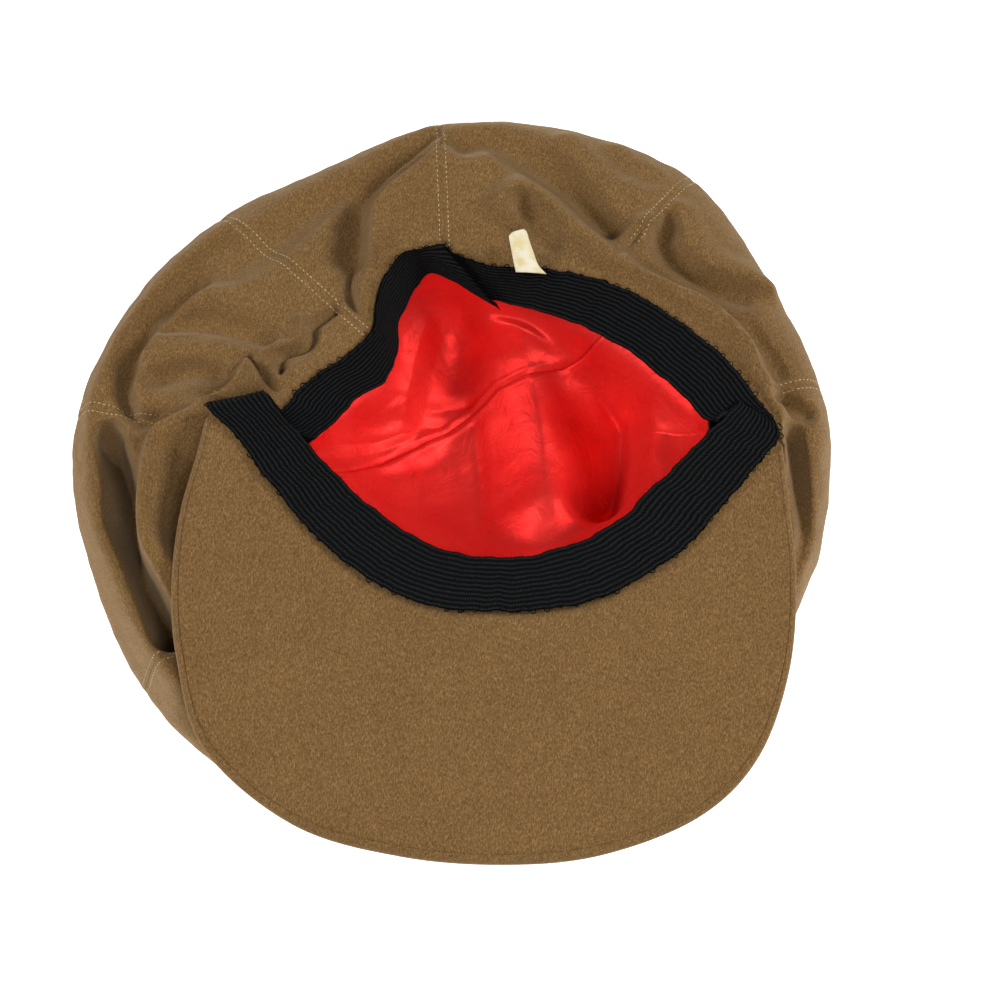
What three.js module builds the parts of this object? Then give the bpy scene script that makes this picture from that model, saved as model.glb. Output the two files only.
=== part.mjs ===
// A soft cloth cap with eight crown panels and a visor, lying upside down on its crown.
// Units are millimetres. +Z is up, the crown rests at z = 0 and the visor points along -Y.
// A place round the cap is a seam number: 0 is the back seam, then 1 to 7 by the left side.
import * as THREE from 'three';
import { mergeVertices } from 'three/addons/utils/BufferGeometryUtils.js';

const panelCount = 8;
const woolWall = 2.2;
const seamGap = 0.4;
const seamDip = 0.8;
const seamDipWidth = 4;
// How far each panel's columns crowd towards its seams.
const seamCrowding = 0.45;
// Added to each fold's width, so that its flanks are as wide as the wall's facets.
const foldEasing = 3;
const contactShare = 0.8;
const pinholeShare = 0.015;

const elasticThickness = 1.0;
const elasticRibs = 8;
const ribHeight = 0.45;
const elasticClearance = 0.5;
const sewnMargin = 1.5;
const tableReach = 0.02;
const lapStart = 7.7;
const lapEnd = 0.25;
const lapBulge = 3.8;
// Under the elastic's lap the cloth reaches this much further in.
const lapMargin = 2.2;

const visorCorners = [2.0, 5.75];
const visorPly = 2.0;
const plyGap = 0.3;
const visorThickness = 2 * visorPly + plyGap;
const visorHeightAtSeam = 48;
const visorTilt = 0.12;
const visorTrough = 0.00074;
const visorMiddle = 13;
const visorSeamLine = -55;
const lipWidth = 2.5;
const lipTurns = 4;
const lipInnerDepth = 0.5;
// The upper ply's edge: how far short of the lip it ends, and how its face rounds down there.
const plyShare = 1.14;
const edgeRound = [[0.985, 0.15], [1, 0.8]];
// The gap between the visor and the crown cloth under it.
const visorClearance = 0.5;
const cornerEase = 0.2;

const liningWall = 1.0;
const liningFloor = 11;
const liningMiddle = [14, 35];
const liningSeams = [-1.24, 2.52];
const liningCorners = [[1.6, 2.4], [5.62, 5.98]];
const liningCornerEase = 0.3;
const liningDepth = 2.1;
const liningMargin = 0.4;
// The shares of the drop between which the folds come in, and the least downward part of the wall.
const liningFoldsStart = 0.2;
const liningFoldsFull = 0.7;
const leastLean = 0.2;

// The cap is shifted by this much, so that its box is centred over the origin.
const origin = [0.73, 1.53];

const woolColour = 0x8b6b47;
const satinColour = 0xd8362c;
const elasticColour = 0x101214;
const tagColour = 0xddd0a4;

// The elastic: its outer, sewn edge and its inner, free edge.
// Columns: seam number, outer x, y, z, inner x, y, z.
const elasticRows = [
  [-0.05, -3.9, 71.0, 54.4, 14.3, 52.2, 45.4],
  [0.12, -11.3, 69.2, 53.8, -5.3, 65.3, 44.4],
  [0.25, -16.5, 68.2, 52.8, -10.9, 63.0, 41.0],
  [0.5, -23.0, 59.4, 50.5, -17.2, 53.0, 36.5],
  [0.75, -24.8, 51.6, 49.5, -18.1, 45.3, 35.5],
  [1.0, -26.3, 42.0, 49.0, -18.6, 37.6, 36.5],
  [1.15, -33.2, 34.5, 49.0, -21.7, 29.3, 39.0],
  [1.42, -46.4, 23.4, 50.5, -31.6, 19.1, 44.5],
  [1.62, -56.1, 11.3, 52.5, -42.5, 4.9, 49.0],
  [1.75, -65.3, 11.6, 55.0, -49.7, 5.5, 51.5],
  [1.88, -73.4, 12.6, 57.5, -56.0, 13.3, 55.0],
  [1.95, -77.0, 11.4, 60.3, -59.3, 16.8, 58.0],
  [2.0, -76.2, 8.6, 62.6, -57.8, 14.0, 60.4],
  [2.25, -67.4, 0.2, 60.8, -50.0, 5.0, 57.4],
  [2.5, -59.0, -11.4, 58.5, -41.0, -5.0, 55.8],
  [3.0, -37.5, -35.3, 53.7, -20.7, -23.9, 52.0],
  [3.5, -12.0, -50.6, 50.4, -2.0, -34.0, 50.1],
  [4.0, 15.3, -54.2, 49.5, 15.9, -36.1, 49.6],
  [4.5, 45.3, -50.4, 50.7, 34.0, -33.5, 50.4],
  [5.0, 71.2, -36.1, 54.2, 52.0, -25.0, 52.4],
  [5.25, 82.2, -24.7, 56.6, 61.5, -16.0, 54.0],
  [5.5, 92.6, -13.0, 59.1, 73.5, -4.5, 56.4],
  [5.75, 102.5, -0.5, 61.8, 86.6, 8.1, 60.5],
  [5.8, 102.1, 4.2, 61.0, 90.6, 12.4, 59.5],
  [5.92, 97.3, 13.1, 58.6, 82.2, 7.5, 55.6],
  [6.15, 87.5, 28.3, 56.5, 75.0, 15.3, 53.0],
  [6.5, 71.4, 43.6, 55.5, 57.7, 33.8, 50.0],
  [6.9, 52.4, 55.6, 55.0, 40.2, 45.6, 47.0],
  [7.3, 31.2, 61.9, 54.0, 24.4, 52.3, 45.0],
  [7.7, 12.1, 63.8, 52.5, 10.7, 57.5, 42.5],
  [7.95, -0.5, 68.4, 52.1, -0.2, 64.2, 41.3],
];

// The crown: its widest line, and the crest that each panel rolls over on its way there.
// Columns: seam number, widest x, y, z, crest share of the way out, crest z.
const crownRows = [
  [0.0, -5, 126.5, 28, 0.55, 52],
  [0.5, -48.5, 108.3, 28, 0.55, 48],
  [1.0, -79.5, 92, 27, 0.55, 47],
  [1.5, -107.5, 61.5, 26, 0.55, 46],
  [2.0, -123, 20, 25, 0.6, 45],
  [2.5, -119.3, -21, 22, 0.7, 43],
  [3.0, -97.2, -70.6, 20, 0.6, 40],
  [3.5, -62, -101, 20, 0.45, 37],
  [4.0, -4, -117, 20, 0.4, 37],
  [4.5, 48, -107, 20, 0.4, 37],
  [5.0, 90, -75, 22, 0.5, 39],
  [5.5, 116, -32, 26, 0.6, 47],
  [5.8, 122.6, 5, 28, 0.6, 49],
  [6.0, 120.5, 27, 29, 0.6, 48],
  [6.5, 107, 63, 29, 0.55, 47],
  [7.0, 81, 105.3, 29, 0.55, 49],
  [7.5, 38.5, 124.6, 28, 0.55, 52],
];

// The visor: its outer edge.
// Columns: seam number, x, y.
const visorRows = [
  [2.0, -77.5, 5.5],
  [2.25, -80.0, -6],
  [2.5, -84.5, -25],
  [2.75, -86.2, -47],
  [3.0, -84.0, -70],
  [3.25, -75.0, -97.5],
  [3.5, -47.7, -119.7],
  [3.75, -14.7, -128.8],
  [4.0, 18.3, -131.1],
  [4.25, 47, -128.2],
  [4.5, 75.9, -117.4],
  [4.75, 94, -100],
  [5.0, 104, -74],
  [5.25, 107, -46],
  [5.5, 105.6, -22],
  [5.75, 104.0, -3.5],
];

// The crown's folds, seen from above. A ridge or a hollow follows its path at its own level,
// and fades out over its width to the left and to the right of the path's direction.
const crownFolds = [
  { name: 'left outer roll', level: 43, left: 9, right: 7,
    path: [[-75, 83], [-89, 71], [-100, 56], [-108, 41], [-114, 21], [-114, 4]] },
  { name: 'outer valley', level: 37, left: 8, right: 8,
    path: [[-74, 74], [-89, 59], [-98, 50], [-103, 40], [-105, 30], [-103, 21], [-98, 15]] },
  { name: 'left long ridge', level: 48, left: 13, right: 5,
    path: [[-66, 60], [-80, 57], [-89, 49], [-96, 40], [-101, 25], [-99, 18]] },
  { name: 'upper left hollow', level: 42, left: 9, right: 5,
    path: [[-93, 45], [-84, 46], [-72, 44], [-62, 41]] },
  { name: 'left short ridge', level: 48, left: 4, right: 8,
    path: [[-98, 36], [-90, 37], [-83, 38], [-66, 35]] },
  { name: 'lower left hollow', level: 42, left: 5, right: 7,
    path: [[-94, 27], [-85, 30], [-77, 29]] },
  { name: 'corner ridge', level: 54, left: 8, right: 4,
    path: [[-64, 32], [-67, 28], [-69, 23], [-74, 18], [-80, 16]] },
  { name: 'pinched crease', level: 44, left: 2, right: 2,
    path: [[-38, 51], [-45, 43], [-47, 37], [-55, 33], [-56, 24]] },
  { name: 'front left roll', level: 43, left: 10, right: 9,
    path: [[-113, -7], [-110, -22], [-99, -50], [-93, -62], [-85, -74]] },
  { name: 'deep gap', level: 18, left: 4, right: 8,
    path: [[-109, 8], [-104, -9], [-103, -19], [-95, -38], [-87, -58]] },
  { name: 'overhung strip', level: 55, left: 17, right: 4,
    path: [[-77, 15], [-85, 11], [-94, 6], [-96, 1], [-98, -18], [-97, -30], [-86, -50]] },
  { name: 'back left hollow', level: 41, left: 12, right: 12,
    path: [[-75, 68], [-63, 75], [-51, 86], [-38, 94]] },
  { name: 'back left ridge', level: 48, left: 8, right: 8,
    path: [[-48, 70], [-40, 78], [-34, 87]] },
  { name: 'hollow beside the lap', level: 41, left: 5, right: 12,
    path: [[-8, 116], [-24, 100], [-30, 92], [-31, 78], [-33, 62], [-28, 48]] },
  { name: 'lap edge', level: 57, left: 20, right: 3,
    path: [[5, 112], [-9, 102], [-23, 89], [-26, 84], [-26, 70], [-23, 64]] },
  { name: 'broad back hollow', level: 43, left: 11, right: 9,
    path: [[4, 112], [12, 113], [29, 103], [46, 88], [53, 80]] },
  { name: 'broad back ridge', level: 57, left: 8, right: 12,
    path: [[16, 88], [19, 91], [24, 91], [38, 79], [53, 65]] },
  { name: 'hollow inside the ridge', level: 49, left: 6, right: 6,
    path: [[23, 86], [27, 80], [31, 72]] },
  { name: 'back right ridge', level: 50, left: 7, right: 7,
    path: [[38, 112], [45, 103], [56, 86]] },
  { name: 'back right hollow', level: 45, left: 5, right: 6,
    path: [[54, 110], [58, 104], [65, 101]] },
  { name: 'curled ridge', level: 52, left: 6, right: 3,
    path: [[54, 66], [57, 77], [61, 81], [68, 83], [74, 86]] },
  { name: 'right hollow', level: 41, left: 7, right: 6,
    path: [[72, 83], [69, 77], [72, 70], [79, 64], [87, 59], [94, 56]] },
  { name: 'right ridge', level: 49, left: 8, right: 4,
    path: [[74, 86], [78, 75], [83, 68], [96, 63], [103, 59]] },
  { name: 'collar', level: 57, left: 4, right: 10,
    path: [[50, 68], [72, 55], [92, 40], [98, 27], [104, 13], [105, 4], [104, -5]] },
  { name: 'side crease', level: 44, left: 4, right: 5,
    path: [[106, 18], [109, 16], [113, 14]] },
  { name: 'gap beside the visor', level: 40, left: 4, right: 3,
    path: [[108, 6], [110, -14], [111, -26], [109, -38]] },
];

// Folds in the satin, each of which lifts or lowers the cloth by its rise.
const liningFolds = [
  { name: 'middle ridge', rise: 15, left: 18, right: 24,
    path: [[22, 50], [26, 34], [29, 14], [30, -8]] },
  { name: 'right fold', rise: 6, left: 14, right: 5,
    path: [[70, 44], [68, 33], [66, 20], [65, 8], [67, -4]] },
  { name: 'left fold', rise: 4.5, left: 5, right: 14,
    path: [[-10, 54], [-13, 43], [-15, 31], [-17, 22]] },
  { name: 'back hollow', rise: -3, left: 8, right: 10, path: [[26, 50], [35, 55], [46, 53]] },
  { name: 'left swell', rise: 3, left: 10, right: 10, path: [[-40, 8], [-22, 14], [-12, 20]] },
];
// The satin's deep pocket, which sinks to one level.
const pocket = { name: 'pocket', level: 5.5, left: 7, right: 16,
  path: [[59, 43], [57, 34], [55.5, 22], [54.5, 8], [52, -7]] };

// The lining's way in: out from under the elastic, then down like a hammock to the middle.
// Columns: share across the elastic, share of the way in to the middle, share of the drop.
const liningRows = [
  [0.3, 0, 0],
  [0.35, 0, 0.07],
  [0.6, 0, 0.13],
  [0.96, 0, 0.2],
  [1, 0.06, 0.33],
  [1, 0.16, 0.54],
  [1, 0.28, 0.74],
  [1, 0.42, 0.89],
  [1, 0.58, 0.96],
  [1, 0.78, 1],
  [1, 1, 1],
];

function smoothStep(from, to, value) {
  const share = Math.min(1, Math.max(0, (value - from) / (to - from)));
  return share * share * (3 - 2 * share);
}

function mix(from, to, share) {
  return from + (to - from) * share;
}

// A smooth curve through a table's rows, read at one value of the first column.
function readTable(rows, at, period = 0) {
  const first = rows[0][0];
  const key = period ? first + ((((at - first) % period) + period) % period) : at;
  const last = period ? rows.length - 1 : rows.length - 2;
  let index = 0;
  while (index < last && rows[index + 1] && rows[index + 1][0] <= key) index += 1;
  const row = (step) => {
    const place = index + step;
    const count = rows.length;
    if (!period) return rows[Math.min(count - 1, Math.max(0, place))];
    const turn = Math.floor(place / count);
    const found = rows[((place % count) + count) % count];
    return [found[0] + turn * period, ...found.slice(1)];
  };
  const [before, start, end, after] = [row(-1), row(0), row(1), row(2)];
  const length = end[0] - start[0];
  const s = (key - start[0]) / length;
  return start.slice(1).map((value, column) => {
    const c = column + 1;
    const slopeStart = (end[c] - before[c]) / (end[0] - before[0]) * length;
    const slopeEnd = (after[c] - value) / (after[0] - start[0]) * length;
    const square = s * s;
    const cube = square * s;
    return value * (2 * cube - 3 * square + 1) + slopeStart * (cube - 2 * square + s)
      + end[c] * (3 * square - 2 * cube) + slopeEnd * (cube - square);
  });
}

function visorHeight(x, y) {
  return visorHeightAtSeam + visorTilt * (y - visorSeamLine) + visorTrough * (x - visorMiddle) ** 2;
}

// A smooth run of points through a fold's path.
function foldPath({ path }) {
  const keyed = path.map((point, k) => [k, ...point]);
  const count = pathSteps * (path.length - 1);
  return Array.from({ length: count + 1 }, (_, k) => readTable(keyed, k / pathSteps));
}

// How strongly a fold acts at a point: 1 on its path, 0 beyond its width.
function foldStrength(fold, x, y) {
  let nearest = Infinity;
  let side = 0;
  const path = paths.get(fold);
  for (let k = 0; k + 1 < path.length; k += 1) {
    const [ax, ay] = path[k];
    const [bx, by] = path[k + 1];
    const dx = bx - ax;
    const dy = by - ay;
    const along = Math.min(1, Math.max(0, ((x - ax) * dx + (y - ay) * dy) / (dx * dx + dy * dy)));
    const offX = x - ax - along * dx;
    const offY = y - ay - along * dy;
    const distance = Math.hypot(offX, offY);
    if (distance < nearest) {
      nearest = distance;
      side = (dx * offY - dy * offX) / (Math.hypot(dx, dy) * distance || 1);
      if (k > 0 && k + 2 < path.length) side = Math.sign(side);
    }
  }
  const width = foldEasing + mix(fold.right, fold.left, 0.5 + 0.5 * side);
  return 0.5 + 0.5 * Math.cos(Math.PI * Math.min(1, nearest / width));
}

const pathSteps = 4;
const paths = new Map([...crownFolds, ...liningFolds, pocket].map((fold) => [fold, foldPath(fold)]));

// Steps down one panel: 0 at the rim, then the crest, the widest line, the floor, the middle.
const crestStep = 0.3;
const widestStep = 0.62;
const floorStep = 0.78;
// The folds act in full between the first two of these steps and are gone by the last.
const foldsInFull = 0.12;
const foldsFade = 0.46;
const foldsEnd = 0.6;

function wrapSeam(seam) {
  return ((seam % panelCount) + panelCount) % panelCount;
}

// How far a place is along the elastic's lap: 0 where it starts and 1 where it ends.
function lapShare(seam) {
  return wrapSeam(seam - lapStart) / (lapEnd + panelCount - lapStart);
}

// The sewn edge all the way round: across the elastic's lap it is a plain shallow curve.
function sewnEdge(seam) {
  const share = lapShare(seam);
  if (share >= 1) return readTable(elasticRows, wrapSeam(seam));
  const from = readTable(elasticRows, lapStart);
  const to = readTable(elasticRows, lapEnd);
  const edge = from.map((value, column) => mix(value, to[column], share));
  edge[1] += lapBulge * Math.sin(Math.PI * share);
  edge[4] += lapBulge * Math.sin(Math.PI * share);
  return edge;
}

// The elastic's two edges at one place, and the direction square to its face.
function elasticFrame(edgeAt, seam) {
  const ends = (place) => {
    const [x, y, z, innerX, innerY, innerZ] = edgeAt(place);
    return [new THREE.Vector3(x, y, z), new THREE.Vector3(innerX, innerY, innerZ)];
  };
  const [outerEdge, innerEdge] = ends(seam);
  const before = ends(seam - tableReach);
  const after = ends(seam + tableReach);
  const along = after[0].add(after[1]).sub(before[0]).sub(before[1]);
  const normal = along.cross(innerEdge.clone().sub(outerEdge)).normalize();
  if (normal.z < 0) normal.negate();
  return { outerEdge, innerEdge, normal };
}

// A point a little inside the sewn edge, at a depth under the elastic's face.
function underElastic(seam, inward, depth) {
  const { outerEdge, innerEdge, normal } = elasticFrame(sewnEdge, seam);
  const share = inward / innerEdge.distanceTo(outerEdge);
  return outerEdge.lerp(innerEdge, share).addScaledVector(normal, -depth);
}

// 1 where the crown runs under the visor, and easing to 0 past the visor's corners.
function underVisor(seam, ease) {
  const place = wrapSeam(seam);
  const [start, end] = visorCorners;
  return smoothStep(start - ease, start, place) * (1 - smoothStep(end, end + ease, place));
}

function lapReach(seam) {
  return lapMargin * Math.sin(Math.PI * Math.min(1, lapShare(seam)));
}

function rimPoint(seam) {
  const point = underElastic(seam, sewnMargin + lapReach(seam), elasticThickness + elasticClearance);
  point.z -= underVisor(seam, cornerEase) * (visorThickness + visorClearance);
  return point;
}

function crownPoint(seam, step) {
  const rim = rimPoint(seam);
  const [wideX, wideY, wideZ, crestShare, crestZ] = readTable(crownRows, seam, panelCount);
  if (step > widestStep) {
    const turn = Math.min(1, (step - widestStep) / (floorStep - widestStep)) * Math.PI / 2;
    let share = 1 - (1 - contactShare) * (1 - Math.cos(turn));
    if (step > floorStep) {
      share = mix(contactShare, pinholeShare, (step - floorStep) / (1 - floorStep));
    }
    const height = step >= floorStep ? 0 : wideZ * (1 - Math.sin(turn));
    return new THREE.Vector3(wideX * share, wideY * share, height);
  }
  let share = crestShare * step / crestStep;
  let height = mix(rim.z, crestZ, Math.sin(Math.min(1, step / crestStep) * Math.PI / 2));
  if (step > crestStep) {
    const turn = (step - crestStep) / (widestStep - crestStep) * Math.PI / 2;
    share = mix(crestShare, 1, Math.sin(turn));
    height = mix(wideZ, crestZ, Math.cos(turn));
  }
  const x = mix(rim.x, wideX, share);
  const y = mix(rim.y, wideY, share);
  const mask = smoothStep(0, foldsInFull, step) * (1 - smoothStep(foldsFade, foldsEnd, step));
  for (const fold of crownFolds) {
    height = mix(height, fold.level, foldStrength(fold, x, y) * mask);
  }
  const ceiling = visorHeight(x, y) - visorThickness - visorClearance;
  height -= underVisor(seam, cornerEase) * Math.max(0, height - ceiling);
  return new THREE.Vector3(x, y, height);
}

// The seams lie in a shallow groove, pressed in along the surface's own normal.
function seamGroove(seam, step, point) {
  const nearestSeam = Math.round(seam);
  const across = crownPoint(nearestSeam, step).distanceTo(point);
  const fade = 1 - smoothStep(widestStep, floorStep, step);
  return seamDip * fade * (1 - smoothStep(0, seamDipWidth, across));
}

function crownNormal(seam, step) {
  const reachAcross = 0.08;
  const reachDown = 0.045;
  const upper = crownPoint(seam, Math.max(0, step - reachDown));
  const lower = crownPoint(seam, Math.min(1, step + reachDown));
  const left = crownPoint(seam + reachAcross, step);
  const right = crownPoint(seam - reachAcross, step);
  return lower.sub(upper).cross(left.sub(right)).normalize();
}

// Along the surface, from the panel before a seam to the panel after it.
function seamTangent(seam, step) {
  const reach = 0.01;
  return crownPoint(seam + reach, step).sub(crownPoint(seam - reach, step)).normalize();
}

// A closed solid between two grids of points, the first one being its outer side.
function wallBetween(outer, inner) {
  const rows = outer.length;
  const columns = outer[0].length;
  const positions = [];
  for (const grid of [outer, inner]) {
    for (const row of grid) {
      for (const point of row) positions.push(point.x, point.y, point.z);
    }
  }
  const at = (side, i, j) => side * rows * columns + i * columns + j;
  const faces = [];
  const quad = (a, b, c, d) => faces.push(a, b, c, a, c, d);
  for (let i = 0; i + 1 < rows; i += 1) {
    for (let j = 0; j + 1 < columns; j += 1) {
      quad(at(0, i, j), at(0, i + 1, j), at(0, i + 1, j + 1), at(0, i, j + 1));
      quad(at(1, i, j), at(1, i, j + 1), at(1, i + 1, j + 1), at(1, i + 1, j));
    }
    quad(at(0, i, 0), at(1, i, 0), at(1, i + 1, 0), at(0, i + 1, 0));
    quad(at(0, i, columns - 1), at(0, i + 1, columns - 1), at(1, i + 1, columns - 1),
      at(1, i, columns - 1));
  }
  for (let j = 0; j + 1 < columns; j += 1) {
    quad(at(0, 0, j + 1), at(1, 0, j + 1), at(1, 0, j), at(0, 0, j));
    quad(at(0, rows - 1, j), at(1, rows - 1, j), at(1, rows - 1, j + 1), at(0, rows - 1, j + 1));
  }
  return closedGeometry(positions, faces);
}

// Merges shared points, drops faces that have shrunk to nothing and turns the solid outwards.
function closedGeometry(positions, faces) {
  let geometry = new THREE.BufferGeometry();
  geometry.setAttribute('position', new THREE.Float32BufferAttribute(positions, 3));
  geometry.setIndex(faces);
  geometry = mergeVertices(geometry, 2e-3);
  const index = geometry.getIndex().array;
  const kept = [];
  for (let k = 0; k < index.length; k += 3) {
    const [a, b, c] = [index[k], index[k + 1], index[k + 2]];
    if (a !== b && b !== c && c !== a) kept.push(a, b, c);
  }
  const place = geometry.getAttribute('position');
  const corner = (k) => new THREE.Vector3().fromBufferAttribute(place, k);
  let volume = 0;
  for (let k = 0; k < kept.length; k += 3) {
    const [a, b, c] = [corner(kept[k]), corner(kept[k + 1]), corner(kept[k + 2])];
    volume += a.dot(b.cross(c));
  }
  if (volume < 0) {
    for (let k = 0; k < kept.length; k += 3) {
      [kept[k + 1], kept[k + 2]] = [kept[k + 2], kept[k + 1]];
    }
  }
  geometry.setIndex(kept);
  geometry.computeVertexNormals();
  return geometry;
}

function makePanel(number, acrossCount) {
  const downSteps = [0, 0.05, 0.1, 0.15, 0.2, 0.25, 0.3, 0.35, 0.4, 0.45, 0.5, 0.56, 0.62,
    0.68, 0.73, 0.78, 0.88, 1];
  const outer = [];
  const inner = [];
  for (const step of downSteps) {
    const outerRow = [];
    const innerRow = [];
    for (let k = 0; k <= acrossCount; k += 1) {
      const even = k / acrossCount;
      const share = even - seamCrowding * Math.sin(2 * Math.PI * even) / (2 * Math.PI);
      const seam = number + share;
      const point = crownPoint(seam, step);
      const normal = crownNormal(seam, step);
      const side = k === 0 ? 1 : -1;
      if (k === 0 || k === acrossCount) point.add(seamTangent(seam, step).multiplyScalar(side * seamGap / 2));
      if (step >= floorStep) normal.set(0, 0, -1);
      point.addScaledVector(normal, -seamGroove(seam, step, point));
      outerRow.push(point);
      innerRow.push(point.clone().addScaledVector(normal, -woolWall));
    }
    outer.push(outerRow);
    inner.push(innerRow);
  }
  return wallBetween(outer, inner);
}

// A point of the visor's upward face, from its seam at the elastic (0) to its outer edge (1).
function visorPlan(seam, share) {
  const { x, y } = rimPoint(seam);
  const [edgeX, edgeY] = readTable(visorRows, seam);
  return [mix(x, edgeX, share), mix(y, edgeY, share), Math.hypot(edgeX - x, edgeY - y)];
}

function makeVisorPly(isUpper) {
  const stations = 25;
  const shares = [0, 0.2, 0.45, 0.7, 0.88];
  const outer = [];
  const inner = [];
  const middle = visorThickness / 2;
  for (let k = 0; k <= stations; k += 1) {
    const even = k / stations;
    const seam = mix(visorCorners[0], visorCorners[1], even);
    const width = visorPlan(seam, 0)[2];
    const lip = Math.min(lipWidth, width / 3) / width;
    const point = (share, below) => {
      const [x, y] = visorPlan(seam, share);
      return new THREE.Vector3(x, y, visorHeight(x, y) - below);
    };
    const inside = 1 - lip * (isUpper ? plyShare : 1);
    const row = shares.map((share) => point(share * inside, isUpper ? 0 : visorThickness));
    const back = shares.map((share) => point(share * inside, isUpper ? visorPly : visorPly + plyGap));
    if (isUpper) {
      for (const [share, below] of edgeRound) {
        row.push(point(inside * share, below));
        back.push(point(inside * share, visorPly));
      }
    } else {
      for (let turn = 0; turn <= lipTurns; turn += 1) {
        const angle = -Math.PI / 2 + Math.PI * turn / lipTurns;
        const share = inside + lip * Math.cos(angle);
        row.push(point(share, middle - middle * Math.sin(angle)));
        back.push(point(inside, mix(visorPly + plyGap, lipInnerDepth, turn / lipTurns)));
      }
    }
    outer.push(row);
    inner.push(back);
  }
  return wallBetween(outer, inner);
}

// Sweeps a closed loop of points through its stations and closes both ends.
function sweepLoops(loops, capShape) {
  const count = loops[0].length;
  const positions = loops.flat().flatMap((point) => [point.x, point.y, point.z]);
  const faces = [];
  for (let i = 0; i + 1 < loops.length; i += 1) {
    for (let j = 0; j < count; j += 1) {
      const next = (j + 1) % count;
      faces.push(i * count + j, (i + 1) * count + j, (i + 1) * count + next);
      faces.push(i * count + j, (i + 1) * count + next, i * count + next);
    }
  }
  const last = (loops.length - 1) * count;
  const shapeTurn = Math.sign(THREE.ShapeUtils.area(capShape));
  for (const corners of THREE.ShapeUtils.triangulateShape(capShape, [])) {
    const turn = Math.sign(THREE.ShapeUtils.area(corners.map((k) => capShape[k])));
    const [a, b, c] = turn === shapeTurn ? corners : corners.reverse();
    faces.push(a, b, c);
    faces.push(last + a, last + c, last + b);
  }
  return closedGeometry(positions, faces);
}

function makeElastic() {
  const section = [];
  for (let k = 0; k <= 2 * elasticRibs; k += 1) {
    section.push(new THREE.Vector2(k / (2 * elasticRibs), k % 2 ? ribHeight : 0));
  }
  section.push(new THREE.Vector2(1, -elasticThickness), new THREE.Vector2(0, -elasticThickness));
  const stationSeams = elasticRows.flatMap((row, k) => {
    const next = elasticRows[k + 1];
    return next ? [row[0], (row[0] + next[0]) / 2] : [row[0]];
  });
  const loops = stationSeams.map((seam) => {
    const { outerEdge, innerEdge, normal } = elasticFrame((at) => readTable(elasticRows, at), seam);
    return section.map(({ x, y }) => outerEdge.clone().lerp(innerEdge, x).addScaledVector(normal, y));
  });
  return sweepLoops(loops, section);
}

// The lining hangs from under the elastic, and spans each folded corner in one sweep.
function liningEdge(seam, share) {
  const edgeAt = (at, part) => {
    const { outerEdge, innerEdge } = elasticFrame(sewnEdge, at);
    const inward = part * outerEdge.distanceTo(innerEdge) + liningMargin + lapReach(at);
    return underElastic(at, inward, liningDepth);
  };
  const place = wrapSeam(seam);
  const freeEdge = mix(0.93, 1, share);
  let nearCorner = 0;
  for (const [start, end] of liningCorners) {
    if (place > start && place < end) {
      const across = (place - start) / (end - start);
      return edgeAt(start, freeEdge).lerp(edgeAt(end, freeEdge), across);
    }
    const rise = smoothStep(start - liningCornerEase, start, place);
    nearCorner = Math.max(nearCorner, rise * (1 - smoothStep(end, end + liningCornerEase, place)));
  }
  return edgeAt(place, mix(share, freeEdge, nearCorner));
}

// Places round the elastic for the lining's columns: the table's own and those between.
function liningStations(from, to) {
  const places = [];
  for (const turn of [-panelCount, 0]) {
    elasticRows.forEach((row, k) => {
      const next = elasticRows[k + 1];
      places.push(row[0] + turn);
      if (next && next[0] - row[0] > 0.3) places.push((row[0] + next[0]) / 2 + turn);
    });
  }
  const least = 0.1;
  const stations = [from];
  for (const place of places) {
    if (place > stations[stations.length - 1] + least && place < to - least) stations.push(place);
  }
  return [...stations, to];
}

// One column of the lining, from under the elastic in to the middle.
function liningColumn(seam, middle) {
  return liningRows.map(([share, inward, drop]) => {
    const edge = liningEdge(seam, share);
    const point = edge.clone().lerp(middle, inward).setZ(mix(edge.z, liningFloor, drop));
    const mask = smoothStep(liningFoldsStart, liningFoldsFull, drop);
    for (const fold of liningFolds) point.z += fold.rise * foldStrength(fold, point.x, point.y) * mask;
    point.z = mix(point.z, pocket.level, foldStrength(pocket, point.x, point.y) * mask);
    return point;
  });
}

// The other side of a column's wall, square to the column as it goes down and in.
function liningBack(row, middle) {
  const outwards = row[0].clone().sub(middle).setZ(0).normalize();
  return row.map((point, step) => {
    const ahead = row[Math.min(row.length - 1, step + 1)];
    const behind = row[Math.max(0, step - 1)];
    const run = outwards.dot(behind.clone().sub(ahead));
    const fall = behind.z - ahead.z;
    const length = Math.hypot(run, fall);
    return point.clone().addScaledVector(outwards, liningWall * fall / length)
      .add(new THREE.Vector3(0, 0, -liningWall * Math.max(leastLean, run / length)));
  });
}

function makeLiningHalf(from, to) {
  const middle = new THREE.Vector3(...liningMiddle, liningFloor);
  const outer = liningStations(from, to).map((seam) => liningColumn(seam, middle));
  const last = liningRows.length - 1;
  middle.z = outer[0][last].z;
  const inner = outer.map((row) => liningBack(row, middle));
  outer.forEach((row, k) => {
    row[last].copy(middle);
    inner[k][last].copy(middle).z -= liningWall;
  });
  const seamLine = outer[0][last - 1].clone().sub(outer[outer.length - 1][last - 1]).setZ(0).normalize();
  const apart = new THREE.Vector3(-seamLine.y, seamLine.x, 0).multiplyScalar(seamGap / 2);
  for (const grid of [outer, inner]) grid.flat().forEach((point) => point.add(apart));
  return wallBetween(outer, inner);
}

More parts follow.
